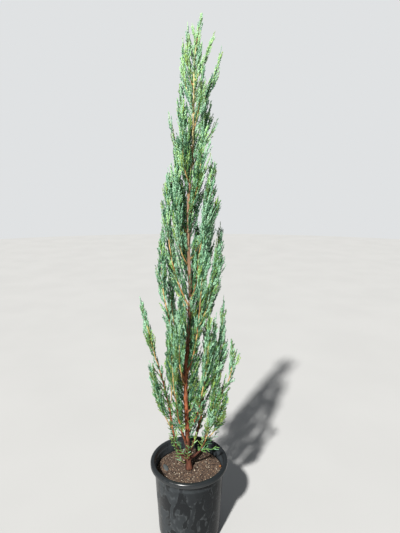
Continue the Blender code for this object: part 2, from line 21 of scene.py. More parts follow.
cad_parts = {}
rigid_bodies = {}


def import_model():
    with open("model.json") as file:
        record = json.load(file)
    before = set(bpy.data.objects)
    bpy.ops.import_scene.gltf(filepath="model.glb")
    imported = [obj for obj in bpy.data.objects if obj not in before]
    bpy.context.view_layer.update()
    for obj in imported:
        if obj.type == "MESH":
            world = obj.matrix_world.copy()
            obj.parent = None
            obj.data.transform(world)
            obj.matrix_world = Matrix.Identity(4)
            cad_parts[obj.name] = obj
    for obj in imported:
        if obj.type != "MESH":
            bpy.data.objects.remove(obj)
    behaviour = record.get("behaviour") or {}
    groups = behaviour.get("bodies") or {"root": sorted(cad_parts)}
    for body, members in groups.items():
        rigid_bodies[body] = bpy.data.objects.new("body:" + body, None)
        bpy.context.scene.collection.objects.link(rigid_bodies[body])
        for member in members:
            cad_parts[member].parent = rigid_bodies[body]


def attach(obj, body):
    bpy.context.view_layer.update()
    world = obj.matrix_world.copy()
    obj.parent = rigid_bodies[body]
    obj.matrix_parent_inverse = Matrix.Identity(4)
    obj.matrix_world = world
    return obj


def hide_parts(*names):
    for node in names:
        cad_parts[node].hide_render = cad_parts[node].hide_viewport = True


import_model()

log = logging.getLogger("juniper")

BODY = "root"
GOLDEN_ANGLE = 137.50776
GAP = 0.0003

# The pot's own sizes
POT_HEIGHT = 0.190
RIM_RADIUS = 0.090
LIP_HEIGHT = 0.0105
BODY_TOP_RADIUS = 0.0805
BODY_FOOT_RADIUS = 0.0720
STEP_HEIGHT = 0.0135
FOOT_RADIUS = 0.0655
POT_WALL = 0.0015
POT_FLOOR = 0.0022
SOIL_TOP = 0.163

# The trunk: height, then how far it bends to the right and to the back
TRUNK_BENDS = (
    (SOIL_TOP + GAP, 0.0, 0.0),
    (0.260, -0.0040, 0.0010),
    (0.370, -0.0070, 0.0020),
    (0.490, -0.0004, 0.0005),
    (0.585, 0.0044, -0.0015),
    (0.670, 0.0018, -0.0010),
    (0.770, 0.0012, 0.0008),
    (0.875, 0.0100, 0.0015),
    (0.980, 0.0130, 0.0000),
    (1.050, 0.0146, -0.0008),
    (1.086, 0.0190, 0.0000),
)
TRUNK_FOOT = TRUNK_BENDS[0][0]
TRUNK_TOP = TRUNK_BENDS[-1][0]
TRUNK_RADIUS = 0.0054
TRUNK_TIP_RADIUS = 0.0011
TRUNK_FLARE = 0.0036
FLARE_HEIGHT = 0.011
TRUNK_RINGS = 26

# A level direction that no stem runs along, from which the first ring of each is turned
SIDE_START = (0.31, 0.95, 0.0)

LIMB_RINGS = 6
STEM_RINGS = 6
STEM_RADIUS = 0.0014
STEM_TIP_RADIUS = 0.0006
CURVE_HANDLE = 0.36

# The crown's outline: height, then the reach to the left and to the right of the trunk
CROWN_OUTLINE = (
    (0.40, 0.044, 0.062),
    (0.57, 0.054, 0.070),
    (0.70, 0.050, 0.070),
    (0.80, 0.043, 0.056),
    (0.90, 0.037, 0.042),
    (1.00, 0.030, 0.037),
    (1.06, 0.024, 0.044),
    (1.12, 0.014, 0.022),
)

# The plumes that grow straight on the trunk, each a golden angle round from the one below
PLUME_COUNT = 20
PLUME_LOW = 0.305
PLUME_HIGH = 0.955
PLUME_FIRST_AZIMUTH = 320.0
PLUME_LEAVE_LOW = 38.0
PLUME_LEAVE_HIGH = 30.0
PLUME_ARRIVE = 4.0
PLUME_LENGTH_LOW = 0.250
PLUME_LENGTH_HIGH = 0.108
STEM_ROOM = 0.0145
STEP_ASIDE = 10.0
STEPS_ASIDE = (0, 1, -1, 2, -2, 3, -3, 4, -4, 5, -5)
OPEN_FRONT_HALF = 20.0


@dataclass(frozen=True)
class Shoot:
    """A limb or a plume: where it starts, where its tip is and how it leans at both ends.

    foot is a height on the trunk, or a share of the limb that carries it, where 1 is its tip.
    """

    name: str
    parent: str
    foot: float
    foot_azimuth: float
    tip_radius: float
    tip_azimuth: float
    tip_height: float
    leave: float
    arrive: float
    thick: float = STEM_RADIUS
    thin: float = STEM_TIP_RADIUS
    round_trunk: bool = False


LIMBS = (
    Shoot("bough_left_lower", "trunk", 0.186, 178, 0.039, 180, 0.278, 46, 8, 0.0027, 0.0022),
    Shoot("bough_left_upper", "bough_left_lower", 1.0, 180, 0.0655, 180, 0.412, 8, 15, 0.0022, 0.0016),
    Shoot("bough_right_lower", "trunk", 0.192, 352, 0.038, 358, 0.243, 60, 9, 0.0027, 0.0022),
    Shoot("bough_right_upper", "bough_right_lower", 1.0, 0, 0.085, 2, 0.371, 12, 28, 0.0022, 0.0015),
    Shoot("bough_second_stem", "trunk", 0.205, 38, 0.035, 20, 0.335, 30, 4, 0.0032, 0.0024),
    Shoot("bough_second_stem_upper", "bough_second_stem", 1.0, 20, 0.042, 18, 0.500, 4, 3, 0.0024, 0.0016),
    Shoot("bough_back_left", "trunk", 0.218, 128, 0.043, 132, 0.330, 36, 8, 0.0027, 0.0018),
    Shoot("bough_back", "trunk", 0.250, 82, 0.046, 84, 0.350, 36, 10, 0.0025, 0.0018),
    Shoot("bough_front_left", "trunk", 0.236, 232, 0.036, 226, 0.330, 34, 10, 0.0023, 0.0016),
    Shoot("bough_front_right", "trunk", 0.262, 312, 0.037, 318, 0.352, 36, 10, 0.0023, 0.0016),
    Shoot("bough_left_middle", "trunk", 0.392, 214, 0.046, 200, 0.545, 32, 12, 0.0023, 0.0013),
    Shoot("bough_right_middle", "trunk", 0.405, 318, 0.034, 308, 0.520, 26, 8, 0.0021, 0.0013),
    Shoot("bough_left_high", "trunk", 0.560, 222, 0.038, 206, 0.668, 32, 10, 0.0019, 0.0012),
    Shoot("bough_right_high", "trunk", 0.575, 322, 0.032, 316, 0.672, 26, 8, 0.0018, 0.0012),
)

LIMB_PLUMES = (
    Shoot("foliage_left_outer", "bough_left_upper", 1.0, 180, 0.104, 180, 0.576, 16, 11),
    Shoot("foliage_left_low_outer", "bough_left_lower", 0.90, 206, 0.086, 192, 0.436, 28, 12),
    Shoot("foliage_left_low_inner", "bough_left_upper", 0.30, 30, 0.046, 171, 0.452, 18, -4),
    Shoot("foliage_right_outer", "bough_right_upper", 1.0, 2, 0.096, 2, 0.478, 24, -2),
    Shoot("foliage_right_low_outer", "bough_right_lower", 0.90, 344, 0.086, 350, 0.362, 42, 14),
    Shoot("foliage_right_low_inner", "bough_right_lower", 0.78, 300, 0.068, 350, 0.440, 24, 4),
    Shoot("foliage_second_outer", "bough_second_stem", 0.90, 8, 0.078, 8, 0.575, 28, 2),
    Shoot("foliage_second_upper", "bough_second_stem_upper", 1.0, 18, 0.071, 14, 0.735, 10, 3),
    Shoot("foliage_back_left", "bough_back_left", 1.0, 132, 0.062, 138, 0.560, 12, 3),
    Shoot("foliage_back", "bough_back", 1.0, 84, 0.066, 84, 0.570, 12, 3),
    Shoot("foliage_front_left", "bough_front_left", 1.0, 226, 0.049, 222, 0.535, 12, 2),
    Shoot("foliage_front_right", "bough_front_right", 1.0, 318, 0.060, 322, 0.560, 14, 3),
    Shoot("foliage_left_middle", "bough_left_middle", 1.0, 200, 0.053, 190, 0.735, 14, -2),
    Shoot("foliage_right_middle", "bough_right_middle", 1.0, 308, 0.049, 312, 0.722, 10, 2),
    Shoot("foliage_left_high", "bough_left_high", 1.0, 206, 0.040, 196, 0.845, 10, -2),
    Shoot("foliage_right_high", "bough_right_high", 1.0, 316, 0.053, 336, 0.868, 14, 2),
    Shoot("foliage_right_upper", "trunk", 0.660, 350, 0.064, 346, 0.791, 30, 6),
    Shoot("foliage_top_left", "trunk", 1.004, 206, 0.008, 284, 1.114, 26, -4),
    Shoot("foliage_top_left_outer", "trunk", 0.966, 160, 0.018, 118, 1.096, 26, 0),
    Shoot("foliage_top_right", "trunk", 1.012, 330, 0.054, 348, 1.097, 32, 20),
    Shoot("foliage_top_right_outer", "trunk", 0.950, 352, 0.068, 8, 1.078, 34, 9),
    Shoot("foliage_top_back", "trunk", 1.030, 92, 0.031, 48, 1.112, 26, 2),
    Shoot("foliage_leader", "trunk_tip", 1.0, 0, 0.0285, 0, 1.133, 12, 8, TRUNK_TIP_RADIUS),
)

# Small sprigs that stand alone: most low on the trunk and on the right bough, one high on the left
SPRIG_RADIUS = 0.0008
SPRIG_TIP_RADIUS = 0.0005
SPRIGS = tuple(Shoot(*row, SPRIG_RADIUS, SPRIG_TIP_RADIUS) for row in (
    ("sprig_left", "trunk", 0.177, 196, 0.034, 200, 0.224, 62, 20),
    ("sprig_left_upper", "trunk", 0.197, 226, 0.028, 214, 0.243, 50, 12),
    ("sprig_front", "trunk", 0.188, 262, 0.022, 268, 0.238, 44, 6),
    ("sprig_front_right", "trunk", 0.214, 300, 0.026, 312, 0.268, 46, 6),
    ("sprig_right", "bough_right_lower", 0.55, 330, 0.068, 350, 0.226, 74, 44),
    ("sprig_right_back", "bough_right_lower", 0.70, 24, 0.070, 12, 0.250, 66, 34),
    ("sprig_back", "trunk", 0.200, 96, 0.030, 92, 0.252, 46, 8),
    ("sprig_high_left", "trunk", 0.822, 186, 0.037, 184, 0.958, 34, -3),
))


@dataclass(frozen=True)
class TrunkWindow:
    """A stretch of the trunk that shows from the front: its heights, half its width, how clear it is."""

    low: float
    high: float
    half: float
    clear: float


TRUNK_WINDOWS = (
    TrunkWindow(0.165, 0.415, 0.0052, 0.86),
    TrunkWindow(0.415, 0.500, 0.0036, 0.50),
    TrunkWindow(0.500, 0.590, 0.0024, 0.15),
    TrunkWindow(0.590, 0.605, 0.0024, 0.35),
    TrunkWindow(0.605, 0.718, 0.0040, 0.70),
    TrunkWindow(0.718, 0.790, 0.0024, 0.25),
    TrunkWindow(0.880, 1.020, 0.0026, 0.60),
)

CAMERA_PLACE = (0.0255, -0.84, 0.8006)
CAMERA_PITCH = 10.5
FOCAL_LENGTH = 27.08


# Shapes of paths


def ramp(value: float, start: float, span: float) -> float:
    """Rise evenly from 0 at the start to 1 at the end of a span, and stay there."""
    return min(1.0, max(0.0, (value - start) / span))


def peak(value: float, middle: float, half: float) -> float:
    """Stand at 1 in the middle and fall evenly to 0 on both sides of it."""
    return max(0.0, 1.0 - abs(value - middle) / half)


def facing(azimuth: float, side: float) -> float:
    """Tell how far an azimuth faces a side: 1 straight at it, 0 square to it or away."""
    return max(0.0, math.cos(math.radians(azimuth - side)))


def lean_vector(azimuth: float, lean: float) -> Vector:
    """Give the direction that leans this far from upright, towards an azimuth."""
    turn, tilt = math.radians(azimuth), math.radians(lean)
    return Vector((math.sin(tilt) * math.cos(turn), math.sin(tilt) * math.sin(turn), math.cos(tilt)))


def trunk_point(height: float) -> Vector:
    """Give the trunk's centre at a height, on a smooth curve through its bends.

    Args:
        height: the height above the pot's underside.

    Returns:
        The point.
    """
    last = len(TRUNK_BENDS) - 2
    place = next((i for i in range(last + 1) if height <= TRUNK_BENDS[i + 1][0]), last)
    low, high = TRUNK_BENDS[place], TRUNK_BENDS[place + 1]
    before = TRUNK_BENDS[max(place - 1, 0)]
    after = TRUNK_BENDS[min(place + 2, last + 1)]
    span = high[0] - low[0]
    share = min(max((height - low[0]) / span, 0.0), 1.0)
    sideways = []
    for axis in (1, 2):
        slope_low = (high[axis] - before[axis]) / (high[0] - before[0])
        slope_high = (after[axis] - low[axis]) / (after[0] - low[0])
        cubic = (2 * share**3 - 3 * share**2 + 1) * low[axis]
        cubic += (share**3 - 2 * share**2 + share) * span * slope_low
        cubic += (3 * share**2 - 2 * share**3) * high[axis]
        cubic += (share**3 - share**2) * span * slope_high
        sideways.append(cubic)
    return Vector((*sideways, height))


def trunk_radius(height: float) -> float:
    """Give the trunk's radius at a height: an even taper, and a flare at its foot."""
    share = (height - TRUNK_FOOT) / (TRUNK_TOP - TRUNK_FOOT)
    taper = TRUNK_RADIUS + share * (TRUNK_TIP_RADIUS - TRUNK_RADIUS)
    return taper + TRUNK_FLARE * math.exp(-(height - TRUNK_FOOT) / FLARE_HEIGHT)


def point_on(path: list[Vector], share: float) -> tuple[Vector, Vector]:
    """Give the point and the direction of a path at a share of its length.

    Args:
        path: the path's points, at even steps.
        share: how far along it, from 0 to 1.

    Returns:
        The point, and the direction there.
    """
    along = min(share, 0.9999) * (len(path) - 1)
    step = int(along)
    return path[step].lerp(path[step + 1], along - step), (path[step + 1] - path[step]).normalized()


def length_of(path: list[Vector]) -> float:
    """Measure a path."""
    return sum((b - a).length for a, b in zip(path, path[1:]))


def bend_places(root: Vector, elbow: Vector, tip: Vector) -> list[Vector]:
    """Give four places along a shoot that bends at its elbow."""
    return [root.lerp(elbow, 0.5), elbow, elbow.lerp(tip, 0.5), tip]


def distances(points: np.ndarray, path: list[Vector]) -> np.ndarray:
    """Measure how far each point is from a path.

    Args:
        points: one row of x, y, z for each point.
        path: the path's points.

    Returns:
        One distance for each point.
    """
    corners = np.array([tuple(point) for point in path])
    start, step = corners[:-1], corners[1:] - corners[:-1]
    offset = points[:, None, :] - start[None, :, :]
    share = np.clip((offset * step).sum(-1) / (step * step).sum(-1), 0.0, 1.0)
    return np.linalg.norm(offset - share[..., None] * step, axis=-1).min(axis=1)


def crown_reach(height: float, azimuth: float) -> float:
    """Give how far the crown stands out from the trunk at a height, on the side of an azimuth.

    Args:
        height: the height above the pot's underside.
        azimuth: the side.

    Returns:
        The reach.
    """
    heights, lefts, rights = zip(*CROWN_OUTLINE)
    left = float(np.interp(height, heights, lefts))
    right = float(np.interp(height, heights, rights))
    return (left + right) / 2 + math.cos(math.radians(azimuth)) * (right - left) / 2


def turned_from(along: Vector, azimuth: float, lean: float) -> Vector:
    """Lean a direction away from a stem, to one side of it.

    Args:
        along: the stem's direction.
        azimuth: the side.
        lean: the angle to the stem, in degrees.

    Returns:
        The direction.
    """
    side = lean_vector(azimuth, 90)
    side = (side - along * side.dot(along)).normalized()
    return (along * math.cos(math.radians(lean)) + side * math.sin(math.radians(lean))).normalized()


def plume_shape(share: float) -> float:
    """Give a spray's length at a share of the stem, against the longest: a lance outline."""
    swelling = min(1.0, 0.55 + 1.8 * share)
    return swelling * (1.0 - 1.03 * max(0.0, share - 0.30))


def clear_of_trunk(place: Vector) -> float:
    """Tell how strongly a place is kept free, because the trunk shows there from the front.

    Args:
        place: a point in the crown.

    Returns:
        The chance that a shoot is left out there, from 0 to 1.
    """
    lens = Vector(CAMERA_PLACE)
    seen = lens + (place - lens) * (lens.y / (lens.y - place.y))
    for window in TRUNK_WINDOWS:
        if window.low < seen.z < window.high:
            trunk = trunk_point(seen.z)
            before = place.y < trunk.y and abs(seen.x - trunk.x) < window.half
            return window.clear if before else 0.0
    return 0.0


class JuniperPlan:
    """The paths of all the limbs and of the plumes' stems, by the source's own rule."""

    def __init__(self) -> None:
        """Lay out the limbs, then the plumes on them, then the plumes on the trunk."""
        self.limbs: dict[str, tuple[Shoot, list[Vector]]] = {}
        self.plumes: dict[str, tuple[Shoot, list[Vector]]] = {}
        for shoot in LIMBS:
            self.limbs[shoot.name] = (shoot, self.path_of(shoot, LIMB_RINGS))
        for shoot in LIMB_PLUMES:
            self.plumes[shoot.name] = (shoot, self.path_of(shoot, STEM_RINGS))
        rng = random.Random(7)
        for index in range(PLUME_COUNT):
            self.add_trunk_plume(index, rng)

    def add_trunk_plume(self, index: int, rng: random.Random) -> None:
        """Set a plume on the trunk, a golden angle round from the last, or aside where that is taken.

        Args:
            index: the plume's place, counted from the lowest.
            rng: the seeded draws that all the plumes on the trunk share.
        """
        share = index / (PLUME_COUNT - 1)
        foot = PLUME_LOW + share * (PLUME_HIGH - PLUME_LOW)
        length = PLUME_LENGTH_LOW + share**2 * (PLUME_LENGTH_HIGH - PLUME_LENGTH_LOW)
        leave = PLUME_LEAVE_LOW + share * (PLUME_LEAVE_HIGH - PLUME_LEAVE_LOW)
        tip_height = foot + length * rng.uniform(0.92, 1.06)
        fullness = rng.uniform(0.86, 1.0)
        golden = PLUME_FIRST_AZIMUTH + index * GOLDEN_ANGLE + rng.uniform(-6, 6)
        best = None
        for step in STEPS_ASIDE:
            azimuth = (golden + step * STEP_ASIDE) % 360
            if abs(azimuth - 270) < OPEN_FRONT_HALF:
                continue
            reach = crown_reach(tip_height, azimuth) * fullness
            shoot = Shoot(f"foliage_crown_{index + 1:02d}", "trunk", foot, azimuth, reach, azimuth,
                          tip_height, leave, PLUME_ARRIVE, round_trunk=True)
            path = self.path_of(shoot, STEM_RINGS)
            room = self.room_round(path)
            if best is None or room > best[0] + GAP:
                best = (room, shoot, path)
            if room > STEM_ROOM:
                break
        self.plumes[best[1].name] = best[1:]

    def room_round(self, path: list[Vector]) -> float:
        """Measure how near a path passes to the limbs and plumes that are already placed.

        Args:
            path: the path of a plume's stem.

        Returns:
            The least distance.
        """
        points = np.array([tuple(point_on(path, step / 40)[0]) for step in range(41)])
        placed = list(self.limbs.values()) + list(self.plumes.values())
        return min(float(distances(points, other).min()) for _, other in placed)

    def foot_of(self, shoot: Shoot) -> Vector:
        """Find the centre of a shoot's foot.

        Args:
            shoot: the limb or plume whose foot is wanted.

        Returns:
            The point on the surface of the trunk or limb that carries it.
        """
        outward = lean_vector(shoot.foot_azimuth, 90)
        if shoot.parent == "trunk":
            axis = trunk_point(shoot.foot)
            reach = 0.0
            for height in (shoot.foot - 2 * shoot.thick, shoot.foot, shoot.foot + 2 * shoot.thick):
                shift = (trunk_point(height) - axis).dot(outward)
                reach = max(reach, trunk_radius(height) + shift)
            return axis + outward * (reach + GAP)
        if shoot.parent == "trunk_tip":
            up = (trunk_point(TRUNK_TOP) - trunk_point(TRUNK_TOP - FLARE_HEIGHT / 3)).normalized()
            return trunk_point(TRUNK_TOP) + up * GAP
        carrier, path = self.limbs[shoot.parent]
        if shoot.foot >= 1.0:
            return path[-1] + (path[-1] - path[-2]).normalized() * GAP
        axis, up = point_on(path, shoot.foot)
        outward = (outward - up * outward.dot(up)).normalized()
        radius = carrier.thick + shoot.foot * (carrier.thin - carrier.thick)
        return axis + outward * (radius + GAP)

    def path_of(self, shoot: Shoot, rings: int) -> list[Vector]:
        """Bend a smooth path from a shoot's foot to its tip.

        Args:
            shoot: the limb, plume or sprig.
            rings: how many steps the path has.

        Returns:
            The path's points.
        """
        start = self.foot_of(shoot)
        tip = lean_vector(shoot.tip_azimuth, 90) * shoot.tip_radius
        tip.z = shoot.tip_height
        if shoot.round_trunk:
            tip += Vector((*trunk_point(shoot.tip_height).xy, 0.0))
        length = CURVE_HANDLE * (tip - start).length
        first = start + lean_vector(shoot.foot_azimuth, shoot.leave) * length
        second = tip - lean_vector(shoot.tip_azimuth, shoot.arrive) * length
        return interpolate_bezier(start, first, second, tip, rings + 1)


class Room:
    """Tells which parts of the crown are nearer to one plume's stem than to any other stem."""

    def __init__(self, plan: JuniperPlan) -> None:
        """Gather all the stems, limbs and the trunk as straight steps."""
        starts, steps, owners, thicks = [], [], [], []
        self.names = {name: index for index, name in enumerate(plan.plumes)}
        paths = [(self.names[name], path, 0.0) for name, (_, path) in plan.plumes.items()]
        paths += [(-1, path, shoot.thick) for shoot, path in plan.limbs.values()]
        heights = np.linspace(TRUNK_FOOT, TRUNK_TOP, TRUNK_RINGS).tolist()
        for low, high in zip(heights, heights[1:]):
            paths.append((-1, [trunk_point(low), trunk_point(high)], trunk_radius(low)))
        for owner, path, thick in paths:
            for start, end in zip(path, path[1:]):
                starts.append(tuple(start))
                steps.append(tuple(end - start))
                owners.append(owner)
                thicks.append(thick)
        self.starts, self.steps = np.array(starts), np.array(steps)
        self.squares = (self.steps**2).sum(-1)
        self.owners, self.thicks = np.array(owners), np.array(thicks)

    def holds(self, name: str, root: Vector, tip: Vector, margin: float, clear: float) -> bool:
        """Tell whether a shoot keeps to its plume's room.

        Args:
            name: the plume that carries the shoot.
            root: where the shoot starts to stand free.
            tip: the shoot's tip.
            margin: how much nearer it has to be to its own stem than to the others.
            clear: how far it has to stay off the limbs.

        Returns:
            True where the whole shoot does.
        """
        share = np.array((0.0, 0.35, 0.7, 1.0))[:, None]
        points = np.array(tuple(root)) * (1 - share) + np.array(tuple(tip)) * share
        offset = points[:, None, :] - self.starts[None, :, :]
        along = np.clip((offset * self.steps).sum(-1) / self.squares, 0.0, 1.0)
        far = np.linalg.norm(offset - along[..., None] * self.steps, axis=-1)
        mine = self.owners == self.names[name]
        limbs = self.owners < 0
        own = far[:, mine].min(axis=1)
        others = far[:, ~mine & ~limbs].min(axis=1)
        wood = (far[:, limbs] - self.thicks[limbs]).min()
        return bool((others - own > margin).all() and wood > clear)


# Finishes


@dataclass(frozen=True)
class PlainFinish:
    """A finish of one colour, for what is dealt out spray by spray or grain by grain."""

    name: str
    colour: tuple[float, float, float]
    roughness: float = 0.6
    specular: float = 0.3

    def make(self) -> bpy.types.Material:
        """Make the material."""
        made = bpy.data.materials.new(self.name)
        made.use_nodes = True
        shader = made.node_tree.nodes["Principled BSDF"]
        shader.inputs["Base Color"].default_value = (*self.colour, 1.0)
        shader.inputs["Roughness"].default_value = self.roughness
        shader.inputs["Specular IOR Level"].default_value = self.specular
        made.diffuse_color = (*self.colour, 1.0)
        return made


class SprayTint(Enum):
    """The greens that the sprays are dealt."""

    FROSTED = PlainFinish("spray_frosted", (0.420, 0.680, 0.460))
    GLAUCOUS = PlainFinish("spray_glaucous", (0.220, 0.450, 0.275))
    # the darkest green, dealt most near the trunk and high on the right, paints the shade inside the crown
    DEEP = PlainFinish("spray_deep", (0.055, 0.155, 0.080))
    LEAF = PlainFinish("spray_leaf_green", (0.145, 0.310, 0.085))
    OLIVE = PlainFinish("spray_olive", (0.150, 0.210, 0.055))
    LIME = PlainFinish("spray_lime", (0.330, 0.500, 0.120))
    FRESH = PlainFinish("spray_fresh", (0.480, 0.760, 0.370))

    def beside(self) -> tuple[SprayTint, ...]:
        """Give the tints that the small cords of a spray of this tint may take."""
        return {
            SprayTint.FROSTED: (SprayTint.GLAUCOUS, SprayTint.DEEP, SprayTint.GLAUCOUS),
            SprayTint.GLAUCOUS: (SprayTint.FROSTED, SprayTint.DEEP, SprayTint.FROSTED),
            SprayTint.DEEP: (SprayTint.GLAUCOUS, SprayTint.LEAF, SprayTint.DEEP),
            SprayTint.LEAF: (SprayTint.DEEP, SprayTint.GLAUCOUS, SprayTint.OLIVE),
            SprayTint.OLIVE: (SprayTint.DEEP, SprayTint.LEAF, SprayTint.LIME),
            SprayTint.LIME: (SprayTint.LEAF, SprayTint.OLIVE, SprayTint.FRESH),
            SprayTint.FRESH: (SprayTint.FROSTED, SprayTint.LIME, SprayTint.GLAUCOUS),
        }[self]


@dataclass(frozen=True)
class TintShare:
    """How often a tint is dealt: everywhere, and how much more or less so in parts of the crown.

    high counts by the height in the crown, raised to power; the other parts are plain shares. The deep and
    shade parts paint shade with dark greens, in the crown's core and high on its right; the sun part
    paints sunlight with frosted green on the right of the middle crown.
    """

    tint: SprayTint
    always: float
    low: float = 0.0
    high: float = 0.0
    power: int = 1
    deep: float = 0.0
    shade: float = 0.0
    sun: float = 0.0


@dataclass(frozen=True)
class TintRule:
    """Deals each spray its tint, by how high, how deep and on which side of the crown it stands; the dark
    greens in the core and high on the right are painted shade, and the frosted green on the right of the
    middle crown is painted sunlight.
    """

    high_from: float = 0.25
    high_span: float = 0.85
    low_from: float = 0.20
    low_span: float = 0.38
    core: float = 0.045
    core_fade: float = 0.8
    shade_height: float = 0.86
    shade_half: float = 0.075
    shade_side: float = 0.012
    sun_height: float = 0.56
    sun_half: float = 0.20
    sun_side: float = 0.030
    sun_span: float = 0.025
    shares: tuple[TintShare, ...] = (
        TintShare(SprayTint.FROSTED, 0.24, low=-0.22, shade=-0.10, sun=0.80),
        TintShare(SprayTint.GLAUCOUS, 0.36, low=-0.29, shade=-0.10),
        TintShare(SprayTint.DEEP, 0.36, low=0.22, high=-0.23, power=3, deep=0.75, shade=0.12, sun=-0.20),
        TintShare(SprayTint.LEAF, 0.18, low=0.30, high=-0.08, shade=0.50),
        TintShare(SprayTint.OLIVE, 0.05, low=0.46),
        TintShare(SprayTint.LIME, 0.035, low=0.18, high=0.115, power=3),
        TintShare(SprayTint.FRESH, 0.02, high=1.30, power=5),
    )

    def deal(self, point: Vector, rng: random.Random) -> SprayTint:
        """Deal a tint.

        Args:
            point: the middle of the spray.
            rng: the plume's seeded draws.

        Returns:
            The tint.
        """
        trunk = trunk_point(point.z)
        high = ramp(point.z, self.high_from, self.high_span)
        low = max(0.0, 1.0 - (point.z - self.low_from) / self.low_span)
        # painted shade: more of the darkest green near the trunk, inside the crown
        deep = peak((point.xy - trunk.xy).length, 0.0, self.core) * (1 - self.core_fade * high**3)
        # painted shade high on the right of the crown, and painted sunlight on the right of its middle
        shaded = point.x > trunk.x - self.shade_side
        shade = peak(point.z, self.shade_height, self.shade_half) if shaded else 0.0
        sun = ramp(point.x - trunk.x, self.sun_side, self.sun_span)
        sun *= peak(point.z, self.sun_height, self.sun_half)
        weights = [share.always + share.low * low + share.high * high**share.power + share.deep * deep
                   + share.shade * shade + share.sun * sun for share in self.shares]
        return rng.choices([share.tint for share in self.shares], weights)[0]


class Nodes:
    """A short hand for building one material's node tree."""

    def __init__(self, name: str) -> None:
        """Start a material with its shader."""
        self.material = bpy.data.materials.new(name)
        self.material.use_nodes = True
        self.tree = self.material.node_tree
        self.shader = self.tree.nodes["Principled BSDF"]
        self.place = self.tree.nodes.new("ShaderNodeTexCoord").outputs["Object"]

    def add(self, kind: str, settings: dict, **inputs: object) -> bpy.types.Node:
        """Add a node, with its settings, and set or link each input by name or number.

        Args:
            kind: the node's type.
            settings: attributes of the node itself.
            inputs: values or sockets; a name like in_0 stands for the input's number.

        Returns:
            The new node.
        """
        node = self.tree.nodes.new(kind)
        for key, value in settings.items():
            setattr(node, key, value)
        for key, value in inputs.items():
            socket = node.inputs[int(key[3:])] if key.startswith("in_") else node.inputs[key]
            if isinstance(value, bpy.types.NodeSocket):
                self.tree.links.new(value, socket)
            else:
                socket.default_value = value
        return node

    def stretched(self, scale: tuple[float, float, float]) -> bpy.types.NodeSocket:
        """Stretch the object's own coordinates."""
        node = self.add("ShaderNodeMapping", {}, Vector=self.place, Scale=scale)
        return node.outputs["Vector"]

    def grain(self, place: bpy.types.NodeSocket, scale: float, detail: float = 4.0,
              distortion: float = 0.0) -> bpy.types.NodeSocket:
        """Give soft noise at a place."""
        node = self.add("ShaderNodeTexNoise", {}, Vector=place, Scale=scale, Detail=detail,
                        Distortion=distortion)
        return node.outputs["Fac"]

    def band(self, value: bpy.types.NodeSocket, low: float, high: float, to_low: float = 0.0,
             to_high: float = 1.0) -> bpy.types.NodeSocket:
        """Stretch a band of values to another range, smoothly at its ends."""
        node = self.add("ShaderNodeMapRange", {"interpolation_type": "SMOOTHSTEP"}, in_0=value,
                        in_1=low, in_2=high, in_3=to_low, in_4=to_high)
        return node.outputs[0]

    def blend(self, share: bpy.types.NodeSocket, first: object, second: object) -> bpy.types.NodeSocket:
        """Mix two colours.

        Args:
            share: how much of the second there is.
            first: a colour or a socket.
            second: a colour or a socket.

        Returns:
            The mixed colour.
        """
        node = self.add("ShaderNodeMix", {"data_type": "RGBA"}, in_0=share)
        for index, colour in ((6, first), (7, second)):
            if isinstance(colour, bpy.types.NodeSocket):
                self.tree.links.new(colour, node.inputs[index])
            else:
                node.inputs[index].default_value = (*colour, 1.0)
        return node.outputs[2]

    def times(self, first: bpy.types.NodeSocket, second: object) -> bpy.types.NodeSocket:
        """Multiply two values."""
        node = self.add("ShaderNodeMath", {"operation": "MULTIPLY"}, in_0=first, in_1=second)
        return node.outputs[0]

    def finish(self, colour: bpy.types.NodeSocket, roughness: bpy.types.NodeSocket,
               height: bpy.types.NodeSocket, depth: float) -> bpy.types.Material:
        """Link the colour, the roughness and the fine relief to the shader.

        Args:
            colour: the base colour.
            roughness: the roughness.
            height: what the relief follows.
            depth: how deep the relief looks, in metres.

        Returns:
            The material.
        """
        bump = self.add("ShaderNodeBump", {}, Height=height, Distance=depth, Strength=0.6)
        self.tree.links.new(colour, self.shader.inputs["Base Color"])
        self.tree.links.new(roughness, self.shader.inputs["Roughness"])
        self.tree.links.new(bump.outputs["Normal"], self.shader.inputs["Normal"])
        return self.material


@dataclass(frozen=True)
class BarkStage:
    """The bark's colours from one height up: its ground and its flakes. Some stages are paler, newer bark;
    others are painted light and painted shade.
    """

    low: float
    high: float
    ground: tuple[float, float, float]
    flake: tuple[float, float, float]


@dataclass(frozen=True)
class BarkFinish:
    """Thin fibrous bark that runs along the wood, with darker cracks and paler flakes."""

    name: str
    ground: tuple[float, float, float]
    flake: tuple[float, float, float]
    crack: tuple[float, float, float]
    stages: tuple[BarkStage, ...] = ()
    stained: float = 0.55

    def make(self) -> bpy.types.Material:
        """Make the material; each stage takes over between its two heights, some as paler, newer bark and
        some as painted light and painted shade.
        """
        nodes = Nodes(self.name)
        fibres = nodes.grain(nodes.stretched((1.0, 1.0, 0.12)), 420.0, 5.0, 0.4)
        patches = nodes.grain(nodes.stretched((1.0, 1.0, 0.45)), 70.0, 3.0, 0.8)
        height = nodes.add("ShaderNodeSeparateXYZ", {}, Vector=nodes.place).outputs["Z"]
        flaky = nodes.band(patches, 0.46, 0.64)
        colour = nodes.blend(flaky, self.ground, self.flake)
        for stage in self.stages:
            stage_bark_and_light = nodes.blend(flaky, stage.ground, stage.flake)
            colour = nodes.blend(nodes.band(height, stage.low, stage.high), colour, stage_bark_and_light)
        stains = nodes.grain(nodes.stretched((1.0, 1.0, 0.55)), 52.0, 2.0, 0.6)
        colour = nodes.blend(nodes.band(stains, 0.50, 0.64, 0.0, self.stained), colour, self.crack)
        colour = nodes.blend(nodes.band(fibres, 0.32, 0.46, 1.0, 0.0), colour, self.crack)
        roughness = nodes.band(fibres, 0.3, 0.7, 0.86, 0.62)
        nodes.shader.inputs["Specular IOR Level"].default_value = 0.3
        return nodes.finish(colour, roughness, fibres, 0.0004)
